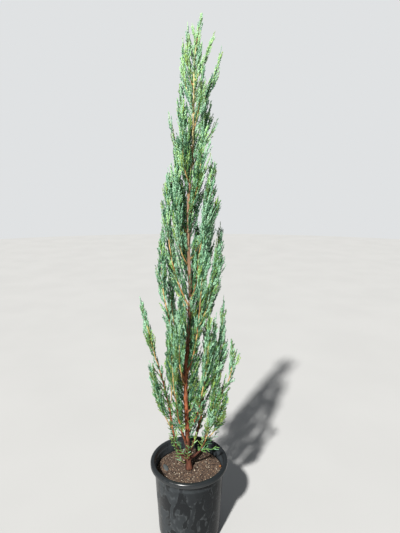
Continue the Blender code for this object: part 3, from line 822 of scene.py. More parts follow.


# Painted light and shade on the bark by height: the dark ground and flakes left below 0.21 m are painted
# shade at the foot, the bright red stages from 0.21 to 0.35 m are painted light where the crown shades the
# trunk, the dark stage from 0.44 to 0.49 m is painted shade, and the paler stages from 0.59 m up are newer
# bark
BARK_AND_LIGHT_STAGES = (
    BarkStage(0.21, 0.29, (0.345, 0.094, 0.040), (0.500, 0.168, 0.076)),
    BarkStage(0.30, 0.35, (0.275, 0.084, 0.038), (0.370, 0.132, 0.062)),
    BarkStage(0.44, 0.49, (0.150, 0.066, 0.040), (0.270, 0.135, 0.085)),
    BarkStage(0.59, 0.66, (0.340, 0.200, 0.120), (0.520, 0.340, 0.220)),
    BarkStage(0.82, 0.95, (0.700, 0.600, 0.290), (0.780, 0.700, 0.400)),
)
TRUNK_BARK = BarkFinish("bark_red_brown", (0.072, 0.024, 0.015), (0.165, 0.062, 0.038),
                        (0.022, 0.010, 0.007), BARK_AND_LIGHT_STAGES)
# the boughs keep the painted shade at the foot and the painted light up to 0.35 m, then turn to orange
# bark
BOUGH_BARK = replace(TRUNK_BARK, name="bark_young", stages=(
    *BARK_AND_LIGHT_STAGES[:2], BarkStage(0.38, 0.46, (0.520, 0.255, 0.095), (0.680, 0.430, 0.180))))


class TwigBark(Enum):
    """The bark of the thin stems, from the older wood out to the new."""

    ORANGE = BarkFinish("twig_orange", (0.540, 0.315, 0.118), (0.690, 0.465, 0.205),
                        (0.200, 0.085, 0.036))
    YELLOW = BarkFinish("twig_yellow", (0.640, 0.450, 0.160), (0.740, 0.580, 0.260),
                        (0.300, 0.170, 0.060))
    GREEN = BarkFinish("twig_green", (0.205, 0.245, 0.075), (0.300, 0.350, 0.115),
                       (0.090, 0.105, 0.036))


@dataclass(frozen=True)
class PotFinish:
    """Moulded black plastic, dulled by dried water and dust that ran down its side. The dust thins out
    towards the right, which paints shade on that side.

    Each pair is the two places, in metres, between which one part of the pot's look gives way to the
    next: across its front, up its side, or out from its middle.
    """

    name: str = "pot_black_plastic"
    clean: tuple[float, float, float] = (0.0065, 0.008, 0.0095)
    dusty: tuple[float, float, float] = (0.040, 0.047, 0.052)
    scuff: tuple[float, float, float] = (0.095, 0.105, 0.110)
    lip: tuple[float, float, float] = (0.018, 0.021, 0.023)
    dust_and_shade_fades: tuple[float, float] = (-0.085, 0.052)
    sheen_fades: tuple[float, float] = (0.005, 0.070)
    lip_starts: tuple[float, float] = (0.174, 0.180)
    inside_starts: tuple[float, float] = (0.158, 0.163)
    inside_ends: tuple[float, float] = (0.0794, 0.0801)

    def make(self) -> bpy.types.Material:
        """Make the material: black plastic, then dust that thins out to the right as painted shade, tide
        lines, the pale inside and specks.
        """
        nodes = Nodes(self.name)
        runs = nodes.grain(nodes.stretched((1.0, 1.0, 0.50)), 38.0, 2.5, 1.1)
        haze = nodes.grain(nodes.place, 95.0, 5.0, 0.4)
        specks = nodes.grain(nodes.place, 900.0, 3.0)
        axes = nodes.add("ShaderNodeSeparateXYZ", {}, Vector=nodes.place).outputs
        settled_and_shaded = nodes.band(haze, 0.25, 0.75, 0.55, 1.0)
        # painted shade: the settled dust thins out across the front to the right, so the right side is
        # darker
        settled_and_shaded = nodes.times(settled_and_shaded, nodes.band(axes["X"], *self.dust_and_shade_fades, 1.0, 0.08))
        dust = nodes.times(nodes.band(runs, 0.44, 0.50), settled_and_shaded)
        tide = nodes.times(nodes.band(runs, 0.44, 0.48), nodes.band(runs, 0.48, 0.53, 0.40, 0.0))
        tide = nodes.times(tide, nodes.band(haze, 0.40, 0.60))
        lip = nodes.band(axes["Z"], *self.lip_starts)
        side = nodes.band(lip, 0.0, 1.0, 1.0, 0.0)
        flat = nodes.add("ShaderNodeVectorMath", {"operation": "MULTIPLY"}, in_0=nodes.place,
                         in_1=(1.0, 1.0, 0.0)).outputs[0]
        radius = nodes.add("ShaderNodeVectorMath", {"operation": "LENGTH"}, in_0=flat).outputs["Value"]
        inside = nodes.times(nodes.band(axes["Z"], *self.inside_starts),
                             nodes.band(radius, *self.inside_ends, 1.0, 0.0))
        inside = nodes.times(inside, nodes.band(haze, 0.30, 0.70, 0.35, 0.90))
        colour = nodes.blend(lip, self.clean, self.lip)
        colour = nodes.blend(nodes.times(dust, side), colour, self.dusty)
        colour = nodes.blend(nodes.times(tide, side), colour, self.scuff)
        colour = nodes.blend(inside, colour, self.dusty)
        colour = nodes.blend(nodes.band(specks, 0.68, 0.76, 0.0, 0.35), colour, self.scuff)
        roughness = nodes.band(dust, 0.0, 1.0, 0.27, 0.52)
        roughness = nodes.times(roughness, nodes.band(lip, 0.0, 1.0, 1.0, 0.80))
        sheen = nodes.band(axes["X"], *self.sheen_fades, 0.24, 0.05)
        sheen = nodes.times(sheen, nodes.band(lip, 0.0, 1.0, 1.0, 2.2))
        nodes.tree.links.new(sheen, nodes.shader.inputs["Specular IOR Level"])
        return nodes.finish(colour, roughness, haze, 0.00006)


@dataclass(frozen=True)
class SoilFinish:
    """Moist peaty potting mix with coarse bark crumbs."""

    name: str = "soil_potting_mix"
    peat: tuple[float, float, float] = (0.052, 0.033, 0.023)
    crumb: tuple[float, float, float] = (0.140, 0.093, 0.065)
    shade: tuple[float, float, float] = (0.014, 0.010, 0.008)

    def make(self) -> bpy.types.Material:
        """Make the material."""
        nodes = Nodes(self.name)
        lumps = nodes.grain(nodes.place, 260.0, 5.0, 0.6)
        grains = nodes.grain(nodes.place, 1100.0, 3.0)
        colour = nodes.blend(nodes.band(lumps, 0.42, 0.66), self.peat, self.crumb)
        colour = nodes.blend(nodes.band(grains, 0.30, 0.46, 1.0, 0.0), colour, self.shade)
        roughness = nodes.band(grains, 0.3, 0.7, 0.98, 0.85)
        return nodes.finish(colour, roughness, grains, 0.0006)


class GritTint(Enum):
    """The stones and crumbs that lie in the soil."""

    CREAM = PlainFinish("grit_cream", (0.560, 0.490, 0.380), 0.85)
    TAN = PlainFinish("grit_tan", (0.320, 0.220, 0.140), 0.88)
    BROWN = PlainFinish("grit_brown", (0.115, 0.072, 0.048), 0.92)
    DARK = PlainFinish("grit_dark", (0.028, 0.020, 0.016), 0.95)
    SLATE = PlainFinish("grit_slate", (0.070, 0.080, 0.082), 0.70)
    ORANGE = PlainFinish("grit_orange", (0.480, 0.170, 0.040), 0.80)


# Helpers for pieces


def deselect_all() -> None:
    """Deselect every object and leave edit mode."""
    if bpy.context.object is not None and bpy.context.object.mode != "OBJECT":
        bpy.ops.object.mode_set(mode="OBJECT")
    bpy.ops.object.select_all(action="DESELECT")


def settle(piece: bpy.types.Object, name: str, material: bpy.types.Material,
           replaced: list[str]) -> bpy.types.Object:
    """Name a finished piece, dress it, and tell the frame what it is.

    Args:
        piece: the finished object, at the origin.
        name: its plain name.
        material: its finish.
        replaced: the CAD nodes that it stands for.

    Returns:
        The piece.
    """
    piece.name = name
    piece.data.name = name
    piece.data.materials.clear()
    piece.data.materials.append(material)
    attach(piece, BODY)
    if replaced:
        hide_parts(*replaced)
    log.info("%s: %d faces", name, len(piece.data.polygons))
    return piece


def mesh_from_arrays(name: str, points: np.ndarray, triangles: np.ndarray) -> bpy.types.Object:
    """Make an object of triangles from arrays.

    Args:
        name: the object's name.
        points: one row of x, y, z for each point.
        triangles: one row of three point numbers for each face.

    Returns:
        The object, linked to the scene.
    """
    mesh = bpy.data.meshes.new(name)
    mesh.vertices.add(len(points))
    mesh.vertices.foreach_set("co", points.astype(np.float32).ravel())
    mesh.loops.add(triangles.size)
    mesh.loops.foreach_set("vertex_index", triangles.astype(np.int32).ravel())
    mesh.polygons.add(len(triangles))
    mesh.polygons.foreach_set("loop_start", np.arange(0, triangles.size, 3, dtype=np.int32))
    mesh.update(calc_edges=True)
    piece = bpy.data.objects.new(name, mesh)
    bpy.context.scene.collection.objects.link(piece)
    return piece


def join_all(pieces: list[bpy.types.Object]) -> bpy.types.Object:
    """Join pieces into the first of them.

    Args:
        pieces: the pieces.

    Returns:
        The first piece.
    """
    deselect_all()
    for piece in pieces:
        piece.select_set(True)
    bpy.context.view_layer.objects.active = pieces[0]
    bpy.ops.object.join()
    return pieces[0]


def draw_up(rows: list[tuple[float, float]], sides: int) -> bpy.types.Object:
    """Draw a round body out of a disc, ring by ring.

    Args:
        rows: its outline, as a radius and a height, from the disc on.
        sides: how many faces go round it.

    Returns:
        The body, with its faces pointing out.
    """
    deselect_all()
    bpy.ops.mesh.primitive_circle_add(vertices=sides, radius=rows[0][0], fill_type="NGON",
                                      location=(0, 0, rows[0][1]))
    piece = bpy.context.object
    bpy.ops.object.transform_apply(location=True)
    bpy.ops.object.mode_set(mode="EDIT")
    bpy.ops.mesh.select_mode(type="FACE")
    bpy.ops.mesh.select_all(action="SELECT")
    for (before, low), (radius, height) in zip(rows, rows[1:]):
        bpy.ops.mesh.extrude_region_move(TRANSFORM_OT_translate={"value": (0, 0, height - low)})
        share = radius / before
        bpy.ops.transform.resize(value=(share, share, 1.0), center_override=(0, 0, height))
    bpy.ops.mesh.select_all(action="SELECT")
    bpy.ops.mesh.normals_make_consistent(inside=False)
    bpy.ops.object.mode_set(mode="OBJECT")
    return piece


def wall_radius(height: float) -> float:
    """Give the outer radius of the pot's wall at a height."""
    share = (height - STEP_HEIGHT) / (POT_HEIGHT - LIP_HEIGHT - STEP_HEIGHT)
    return BODY_FOOT_RADIUS + share * (BODY_TOP_RADIUS - BODY_FOOT_RADIUS)


def frames_along(path: list[Vector]) -> list[tuple[Vector, Vector]]:
    """Give two directions square to a path at each of its points, without twist between them.

    Args:
        path: the path's points.

    Returns:
        The two directions for each point.
    """
    frames = []
    side = None
    for index in range(len(path)):
        tangent = (path[min(index + 1, len(path) - 1)] - path[max(index - 1, 0)]).normalized()
        if side is None:
            side = tangent.cross(Vector(SIDE_START))
        side = (side - tangent * side.dot(tangent)).normalized()
        frames.append((side, tangent.cross(side)))
    return frames


# Bark and wood


@dataclass
class BarkedLimbs:
    """The trunk and the boughs, with fibrous relief and a collar where each shoot leaves."""

    plan: JuniperPlan
    trunk_sides: int = 30
    trunk_rings: int = 330
    bough_sides: int = 16
    bough_rings: int = 70
    relief: float = 0.00070
    knot_height: float = 0.0011
    knot_size: float = 0.0042
    knot_reach: float = 2.2
    small_knots: int = 26
    small_knot: float = 0.0006
    small_knots_from: float = 0.02
    small_knots_span: float = 0.62
    sink: float = 0.0030
    collar: float = 0.45
    collar_height: float = 0.006

    def cylinder(self, sides: int, rings: int) -> bpy.types.Object:
        """Add a unit cylinder and cut it into rings.

        Args:
            sides: how many faces go round it.
            rings: how many faces go along it, a multiple of ten.

        Returns:
            The cylinder, of radius 1 and from height 0 to 1.
        """
        deselect_all()
        bpy.ops.mesh.primitive_cylinder_add(vertices=sides, radius=1.0, depth=1.0,
                                            location=(0, 0, 0.5))
        piece = bpy.context.object
        bpy.ops.object.transform_apply(location=True)
        bpy.ops.object.mode_set(mode="EDIT")
        bpy.ops.mesh.select_mode(type="EDGE")
        for cuts in (rings // 10 - 1, 9):
            bpy.ops.mesh.select_all(action="DESELECT")
            work = bmesh.from_edit_mesh(piece.data)
            for edge in work.edges:
                edge.select = abs(edge.verts[0].co.z - edge.verts[1].co.z) > 0.001
            bmesh.update_edit_mesh(piece.data)
            bpy.ops.mesh.subdivide(number_cuts=cuts)
        bpy.ops.object.mode_set(mode="OBJECT")
        return piece

    def bark_height(self, turn: float, along: float, seed: float) -> float:
        """Give the bark's relief, from about -1 to 1: long strips with short flakes on them.

        Args:
            turn: the angle round the limb.
            along: the place along it.
            seed: what sets this limb apart.

        Returns:
            The relief.
        """
        across, deep = math.cos(turn), math.sin(turn)
        strips = noise.noise(Vector((across * 2.6, deep * 2.6, along * 42 + seed)))
        fibres = noise.noise(Vector((across * 6.5, deep * 6.5, along * 110 + seed)))
        flakes = noise.noise(Vector((across * 1.7, deep * 1.7, along * 260 + seed)))
        return strips * 0.9 + fibres * 0.55 + max(0.0, flakes - 0.12) * 0.8

    def shape(self, piece: bpy.types.Object, path: list[Vector], radii: list[float],
              knots: list[tuple[Vector, float]], seed: float) -> None:
        """Lay a cut cylinder along a path and raise its bark.

        Args:
            piece: the cylinder.
            path: the limb's centre, with one point for each ring.
            radii: the limb's radius at each of those points.
            knots: the places where shoots leave, and how thick each is.
            seed: what sets this limb's bark apart.
        """
        frames = frames_along(path)
        last = len(path) - 1
        for vert in piece.data.vertices:
            ring = round(vert.co.z * last)
            turn = math.atan2(vert.co.y, vert.co.x)
            side, other = frames[ring]
            spread = Vector((vert.co.x, vert.co.y)).length
            outward = side * math.cos(turn) + other * math.sin(turn)
            radius = radii[ring]
            relief = self.relief * min(1.0, radius / TRUNK_RADIUS + 0.15)
            point = path[ring] + outward * radius
            swell = relief * self.bark_height(turn, path[ring].z + path[ring].x, seed)
            for place, thick in knots:
                gap = (point - place).length / (self.knot_size + thick)
                if gap < self.knot_reach:
                    swell += self.knot_height * (0.4 + thick * 220) * math.exp(-gap * gap * 1.6)
            vert.co = path[ring] + outward * (radius + swell) * spread

    def build_trunk(self, bark: bpy.types.Material) -> None:
        """Build the trunk.

        Args:
            bark: its finish.
        """
        piece = self.cylinder(self.trunk_sides, self.trunk_rings)
        heights = np.linspace(TRUNK_FOOT, TRUNK_TOP, self.trunk_rings + 1).tolist()
        path = [trunk_point(height) for height in heights]
        radii = [trunk_radius(height) for height in heights]
        knots = []
        for shoot, way in list(self.plan.limbs.values()) + list(self.plan.plumes.values()):
            if shoot.parent == "trunk":
                knots.append((way[0], shoot.thick))
        rng = random.Random(3)
        for _ in range(self.small_knots):
            height = TRUNK_FOOT + self.small_knots_from + rng.random() ** 1.3 * self.small_knots_span
            outward = lean_vector(rng.uniform(0, 360), 90)
            knots.append((trunk_point(height) + outward * trunk_radius(height), self.small_knot))
        self.shape(piece, path, radii, knots, 0.0)
        piece.data.shade_smooth()
        settle(piece, "trunk_bark", bark, ["trunk"])

    def build_boughs(self, bark: bpy.types.Material) -> None:
        """Build all the boughs and join them.

        Args:
            bark: their finish.
        """
        made = []
        for index, (shoot, _) in enumerate(self.plan.limbs.values()):
            path = self.plan.path_of(shoot, self.bough_rings)
            inward = (path[0] - path[1]).normalized()
            path[0] = path[0] + inward * self.sink
            radii = []
            for step, place in enumerate(path):
                share = step / self.bough_rings
                radius = shoot.thick + (shoot.thin - shoot.thick) * share
                if shoot.parent == "trunk":
                    radius *= 1.0 + self.collar * math.exp(-(place - path[0]).length / self.collar_height)
                radii.append(radius)
            knots = [(way[0], carried.thick) for carried, way in self.plan.plumes.values()
                     if carried.parent == shoot.name and carried.foot < 1.0]
            piece = self.cylinder(self.bough_sides, self.bough_rings)
            self.shape(piece, path, radii, knots, index * 3.7)
            made.append(piece)
        joined = join_all(made)
        joined.data.shade_smooth()
        settle(joined, "boughs_bark", bark, [shoot.name for shoot in LIMBS])


@dataclass
class Twigs:
    """Thin woody stems, gathered by their bark."""

    sides: int = 5
    points: dict[TwigBark, list] = field(default_factory=lambda: {bark: [] for bark in TwigBark})
    faces: dict[TwigBark, list] = field(default_factory=lambda: {bark: [] for bark in TwigBark})

    def add(self, bark: TwigBark, path: list[Vector], radii: list[float]) -> None:
        """Add a tapering twig that is closed at both ends.

        Args:
            bark: its bark.
            path: the twig's centre.
            radii: its radius at each point of the path.
        """
        points, faces = self.points[bark], self.faces[bark]
        start = len(points)
        sides = self.sides
        for (side, other), centre, radius in zip(frames_along(path), path, radii):
            for step in range(sides):
                turn = math.tau * step / sides
                outward = side * math.cos(turn) + other * math.sin(turn)
                points.append(tuple(centre + outward * radius))
        for ring in range(len(path) - 1):
            low = start + ring * sides
            for step in range(sides):
                after = (step + 1) % sides
                faces.append((low + step, low + after, low + sides + after))
                faces.append((low + step, low + sides + after, low + sides + step))
        top = start + (len(path) - 1) * sides
        for step in range(1, sides - 1):
            faces.append((start, start + step + 1, start + step))
            faces.append((top, top + step, top + step + 1))

    def build(self, replaced: list[str]) -> None:
        """Make one piece for each bark.

        Args:
            replaced: the CAD nodes that the stems stand for.
        """
        for bark in TwigBark:
            name = f"twigs_{bark.name.lower()}"
            piece = mesh_from_arrays(name, np.array(self.points[bark]), np.array(self.faces[bark]))
            piece.data.shade_smooth()
            settle(piece, name, bark.value.make(), replaced)


# Foliage


@dataclass
class Cords:
    """Scale-leaf cords of one tint, each a run of small overlapping collars with a pointed tip."""

    waist: float = 0.62
    shoulder: float = 0.66
    taper: float = 0.42
    turn: float = 2.4
    rows: dict[int, list] = field(default_factory=dict)

    def add(self, root: Vector, tip: Vector, bow: Vector, radius: float, collars: int) -> None:
        """Add a cord.

        Args:
            root: its foot, inside what carries it.
            tip: its point.
            bow: how far its middle stands out from the straight line.
            radius: its widest half width.
            collars: how many whorls of scales it has.
        """
        self.rows.setdefault(collars, []).append((*root, *tip, *bow, radius))

    def template(self, collars: int) -> tuple[np.ndarray, np.ndarray, np.ndarray, np.ndarray]:
        """Lay out the rings of a cord.

        Args:
            collars: how many whorls of scales it has.

        Returns:
            Each point's share of the length, its width and its turn, and the faces between them.
        """
        shares, widths, turns = [], [], []
        for ring in range(2 * collars):
            whorl, wide = divmod(ring, 2)
            share = (whorl + (self.shoulder if wide else 0.0)) / collars
            shares += [share] * 3
            widths += [(1.0 if wide else self.waist) * (1.0 - self.taper * share)] * 3
            turns += [math.pi / 3 * ring + math.tau / 3 * side for side in range(3)]
        faces = [(0, 2, 1)]
        for ring in range(2 * collars - 1):
            low, high = 3 * ring, 3 * ring + 3
            for side in range(3):
                after = (side + 1) % 3
                faces.append((low + side, low + after, high + side))
                faces.append((high + side, low + after, high + after))
        top = 3 * (2 * collars - 1)
        faces += [(top + side, top + (side + 1) % 3, top + 3) for side in range(3)]
        shares.append(1.0)
        widths.append(0.0)
        turns.append(0.0)
        return np.array(shares), np.array(widths), np.array(turns), np.array(faces)

    def arrays(self) -> tuple[np.ndarray, np.ndarray]:
        """Work out all the cords.

        Returns:
            Their points and their triangles.
        """
        all_points, all_faces, start = [], [], 0
        for collars, rows in sorted(self.rows.items()):
            table = np.array(rows)
            root, tip, bow, radius = table[:, 0:3], table[:, 3:6], table[:, 6:9], table[:, 9]
            along = tip - root
            along /= np.linalg.norm(along, axis=1, keepdims=True)
            helper = np.where(np.abs(along[:, 2:3]) < 0.9, [[0.0, 0.0, 1.0]], [[1.0, 0.0, 0.0]])
            side = np.cross(along, helper)
            side /= np.linalg.norm(side, axis=1, keepdims=True)
            other = np.cross(along, side)
            shares, widths, turns, faces = self.template(collars)
            centre = root[:, None] + (tip - root)[:, None] * shares[None, :, None]
            centre = centre + bow[:, None] * (4 * shares * (1 - shares))[None, :, None]
            spin = (np.arange(len(rows))[:, None] * self.turn + turns[None, :])[..., None]
            across = side[:, None] * np.cos(spin) + other[:, None] * np.sin(spin)
            points = centre + across * (radius[:, None] * widths[None, :])[..., None]
            count = len(shares)
            offset = start + np.arange(len(rows))[:, None, None] * count
            all_points.append(points.reshape(-1, 3))
            all_faces.append((faces[None] + offset).reshape(-1, 3))
            start += len(rows) * count
        return np.concatenate(all_points), np.concatenate(all_faces)


class Zone(Enum):
    """The parts of the crown whose sprays are joined into the same pieces."""

    LOW = "low"
    MIDDLE = "middle"
    HIGH = "high"

    @classmethod
    def at(cls, height: float, bounds: tuple[float, float]) -> Zone:
        """Give the part for a height, from the heights where the middle and the high part start."""
        return cls.LOW if height < bounds[0] else cls.MIDDLE if height < bounds[1] else cls.HIGH


@dataclass(frozen=True)
class SideChange:
    """A place where the crown is fuller or slimmer: its side, its height and how far it spreads."""

    side: float
    height: float
    half: float
    change: float

    def at(self, azimuth: float, height: float) -> float:
        """Give the change of a shoot's reach, as a share of it."""
        return self.change * facing(azimuth, self.side) * peak(height, self.height, self.half)


@dataclass(frozen=True)
class StringSizes:
    """The sizes of a string: a spine of scales with short cords close along it.

    Each pair is the least and the most that is drawn. The loose ones are added low in the crown.
    """

    spine_radius: float = 0.00115
    spine_taper: float = 0.30
    spine_step: float = 0.0125
    spine_lap: float = 0.0012
    radius: float = 0.00108
    loose_radius: float = 0.3
    spacing: float = 0.0026
    loose_spacing: float = 1.1
    length: float = 0.0078
    lengths: tuple[float, float] = (0.60, 1.25)
    loose_length: float = 0.8
    shrink: float = 0.58
    top_shrink: float = 0.3
    last_share: float = 0.985
    scatter: float = 0.55
    leans: tuple[float, float] = (15, 32)
    loose_lean: float = 20
    curl: float = 0.16
    bow: float = 0.07
    mixed: float = 0.5
    collar: float = 0.0051
    most_collars: int = 7


@dataclass
class Foliage:
    """Every plume: its woody stem, its shoots, and the strings of scale-leaf cords that they carry."""

    plan: JuniperPlan
    twigs: Twigs
    tints: TintRule = TintRule()
    sizes: StringSizes = StringSizes()
    bundles: dict[tuple[str, str], Cords] = field(default_factory=dict)
    room: Room = field(init=False)

    # The way that all shoots turn to, and how loose the lowest are
    upright: float = 0.6
    splay: float = 0.13
    sway: float = 0.07
    elbow: float = 0.32
    loose_from: float = 0.20
    loose_span: float = 0.17
    top_from: float = 0.85

    # The shoots on a plume's stem
    shoot_spacing: float = 0.0054
    shoot_length: float = 0.076
    shoot_lean: float = 28.0
    shoot_arrive: float = 3.0
    tries: int = 5
    shrink: float = 0.80
    bare_share: float = 0.08
    last_share: float = 0.86
    slim_top: float = 0.35
    slim_top_span: float = 0.25
    tip_room: float = 0.004
    overlap: float = -0.0070
    clear: float = 0.0015
    stem_wave: float = 0.0006
    stem_sink: float = 0.0022
    stem_flare: float = 1.5
    tip_string: float = 0.42
    plume_zones: tuple[float, float] = (0.58, 0.86)

    # The open front of the middle crown, the wide right of the upper crown, and slim sides
    open_front: tuple[float, float] = (0.32, 0.66)
    open_front_side: float = -0.45
    bare_front: float = 0.75
    wide_height: float = 0.87
    wide_half: float = 0.09
    wide_lean: float = 14.0
    widen: float = 0.45
    slims: tuple[SideChange, ...] = (
        SideChange(0.0, 0.490, 0.09, -0.55), SideChange(180.0, 0.650, 0.10, -0.35),
    )

    # The strings on a shoot
    string_spacing: float = 0.0120
    string_length: float = 0.036
    string_lean: float = 21.0
    string_loose_lean: float = 22.0
    string_foot: float = 0.14
    string_span: float = 0.62
    new_tint: float = 0.55

    # The short shoots on the trunk, which fill the crown from inside, and on the boughs
    trunk_spacing: float = 0.0052
    trunk_low: float = 0.232
    trunk_shoot: float = 0.070
    trunk_zones: tuple[float, float] = (0.40, 0.76)
    crowded: float = 0.45
    crowded_height: float = 0.33
    crowded_half: float = 0.13
    fills: tuple[SideChange, ...] = (
        SideChange(0.0, 0.355, 0.11, 0.85), SideChange(180.0, 0.600, 0.08, 0.95),
        SideChange(0.0, 0.740, 0.07, 0.85), SideChange(0.0, 0.880, 0.07, 0.70),
    )
    bough_spacing: float = 0.0052
    bough_shoot: float = 0.038
    bough_zones: tuple[float, float] = (0.50, 0.76)

    def __post_init__(self) -> None:
        """Measure out each plume's room."""
        self.room = Room(self.plan)

    def looseness(self, height: float) -> float:
        """Tell how loose and crooked the sprays are at a height: the lowest are the loosest."""
        return 1.0 - ramp(height, self.loose_from, self.loose_span)

    def onward(self, place: Vector) -> Vector:
        """Give the way that shoots turn to at a place: upright, and a little out of the crown."""
        out = place.xy - trunk_point(place.z).xy
        out = out / max(out.length, 0.020)
        upright = self.upright * (1.0 - 0.5 * self.looseness(place.z))
        return Vector((out.x * self.splay + self.sway, out.y * self.splay, upright))

    def hides_trunk(self, rng: random.Random, path: list[Vector]) -> bool:
        """Draw whether a shoot is left out because it would stand before the open trunk."""
        return rng.random() < max(clear_of_trunk(place) for place in path)

    def in_open_front(self, height: float, azimuth: float) -> bool:
        """Tell whether a shoot would stand out to the front, where the crown is open."""
        low, high = self.open_front
        return low < height < high and math.sin(math.radians(azimuth)) < self.open_front_side

    def cord(self, zone: Zone, tint: SprayTint, root: Vector, tip: Vector, bow: Vector,
             radius: float) -> None:
        """Add one cord with as many whorls as its length asks for."""
        collars = round((tip - root).length / self.sizes.collar)
        collars = min(self.sizes.most_collars, max(1, collars))
        cords = self.bundles.setdefault((zone.value, tint.name), Cords())
        cords.add(root, tip, bow, radius, collars)

    def grow_string(self, zone: Zone, tint: SprayTint, path: list[Vector], first: float, scale: float,
                    rng: random.Random) -> None:
        """Grow a spine of scales with short cords that lie close along it, on all its sides.

        Args:
            zone: the part of the crown that it belongs to.
            tint: the spray's own tint.
            path: the spine's path, from its foot to its tip.
            first: the share of the path below which it is bare.
            scale: the size of its side cords against the usual.
            rng: the plume's seeded draws.
        """
        sizes = self.sizes
        length = length_of(path)
        steps = max(1, round(length * (1 - first) / sizes.spine_step))
        straight = Vector((0, 0, 0))
        for step in range(steps):
            low, _ = point_on(path, first + (1 - first) * step / steps)
            high, along = point_on(path, first + (1 - first) * (step + 1) / steps)
            radius = sizes.spine_radius * (1.0 - sizes.spine_taper * step / steps)
            self.cord(zone, tint, low, high + along * sizes.spine_lap, straight, radius)
        turn = rng.uniform(0, math.tau)
        loose = self.looseness(path[0].z)
        spacing = sizes.spacing * (1.0 + sizes.loose_spacing * loose)
        radius = sizes.radius * (1.0 + sizes.loose_radius * loose)
        count = max(2, int(length * (1 - first) / spacing))
        for index in range(count):
            share = first + (sizes.last_share - first) * (index + rng.uniform(0.1, 0.8)) / count
            root, along = point_on(path, share)
            turn += math.pi + rng.gauss(0, sizes.scatter)
            across = along.orthogonal().normalized()
            across = across * math.cos(turn) + along.cross(across) * math.sin(turn)
            lean = math.radians(rng.uniform(*sizes.leans) + sizes.loose_lean * loose)
            size = sizes.length * scale * (1.0 - sizes.shrink * share) * rng.uniform(*sizes.lengths)
            size *= 1.0 + sizes.loose_length * loose
            size *= 1.0 - sizes.top_shrink * ramp(root.z, self.top_from, 0.2)
            away = along * math.cos(lean) + across * math.sin(lean)
            tip = root + away * size + along * size * sizes.curl
            dealt = rng.choice(tint.beside()) if rng.random() < sizes.mixed else tint
            self.cord(zone, dealt, root, tip, across * size * sizes.bow, radius)

    def grow_stem(self, shoot: Shoot, path: list[Vector], rng: random.Random) -> None:
        """Grow a plume's woody stem: orange at its foot, then yellow and green.

        Args:
            shoot: the plume.
            path: its stem's path.
            rng: the plume's seeded draws.
        """
        last = len(path) - 1
        radii = [shoot.thick + (shoot.thin - shoot.thick) * step / last for step in range(last + 1)]
        way = [place.copy() for place in path]
        wave = self.stem_wave
        for step, (side, other) in enumerate(frames_along(path)):
            if 0 < step < last:
                way[step] += side * rng.uniform(-wave, wave) + other * rng.uniform(-wave, wave)
        if shoot.parent == "trunk":
            way[0] = way[0] - lean_vector(shoot.foot_azimuth, 90) * self.stem_sink
            radii[0] *= self.stem_flare
        young = ramp(path[0].z, 0.88, 0.12)
        orange = max(1, round(last * rng.uniform(0.10, 0.34) * (1.0 - young)))
        yellow = max(orange + 1, round(last * rng.uniform(0.52, 0.74) * (1.0 - 0.75 * young)))
        self.twigs.add(TwigBark.ORANGE, way[:orange + 1], radii[:orange + 1])
        self.twigs.add(TwigBark.YELLOW, way[orange:yellow + 1], radii[orange:yellow + 1])
        self.twigs.add(TwigBark.GREEN, way[yellow:-2], radii[yellow:-2])

    def grow_plume(self, name: str, zone: Zone) -> None:
        """Grow one plume.

        Args:
            name: the CAD mass that it stands for.
            zone: the part of the crown that it belongs to.
        """
        shoot = self.plan.plumes[name][0]
        rng = random.Random(f"{name} twigs")
        stem = self.plan.path_of(shoot, 16)
        length = length_of(stem)
        size = min(1.0, 0.45 + 0.55 * length / PLUME_LENGTH_LOW)
        self.grow_stem(shoot, stem, rng)
        azimuth = rng.uniform(0, 360)
        bare = self.bare_share * rng.uniform(0.6, 2.6) * min(1.0, max(0.1, (1.06 - stem[0].z) / 0.12))
        count = max(4, round(length * (0.96 - bare) / self.shoot_spacing))
        for index in range(count):
            share = bare + (self.last_share - bare) * index / (count - 1)
            root, along = point_on(stem, share)
            reach = self.shoot_length * size * plume_shape(share) * rng.uniform(0.62, 1.05)
            reach *= 1.0 - self.slim_top * max(0.0, (root.z - self.top_from) / self.slim_top_span)
            reach = min(reach, self.tip_room + (1 - share) * length * 0.8)
            for attempt in range(self.tries):
                azimuth += GOLDEN_ANGLE + rng.uniform(-18, 18)
                if self.in_open_front(root.z, azimuth) and rng.random() < self.bare_front:
                    continue
                lean = self.shoot_lean + rng.uniform(-6, 8)
                wide = facing(azimuth, 0.0) * peak(root.z, self.wide_height, self.wide_half)
                far = reach * (1.0 + self.widen * wide)
                for slim in self.slims:
                    far *= 1.0 + slim.at(azimuth, root.z)
                leave = turned_from(along, azimuth, lean + self.wide_lean * wide)
                elbow = root + leave * far * self.elbow
                ahead = turned_from(along, azimuth, self.shoot_arrive) + self.onward(elbow)
                tip = elbow + ahead.normalized() * far * (1 - self.elbow)
                if self.hides_trunk(rng, bend_places(root, elbow, tip)):
                    continue
                if self.room.holds(name, elbow, tip, self.overlap, self.clear):
                    self.grow_shoot(zone, root, elbow, tip, rng)
                    break
                if attempt % 2:
                    reach *= self.shrink
        self.grow_tip(zone, stem, rng)

    def grow_tip(self, zone: Zone, stem: list[Vector], rng: random.Random) -> None:
        """Grow the string that wraps a plume's stem to its tip, and is never the darkest green.

        Args:
            zone: the part of the crown that it belongs to.
            stem: the stem's path.
            rng: the plume's seeded draws.
        """
        tint = self.tints.deal(stem[-1], rng)
        if tint is SprayTint.DEEP:
            tint = SprayTint.FROSTED
        path = [point_on(stem, self.tip_string + (1 - self.tip_string) * step / 8)[0]
                for step in range(9)]
        path[-1] = stem[-1] + (stem[-1] - stem[-2]).normalized() * 0.004
        self.grow_string(zone, tint, path, 0.0, 0.9, rng)

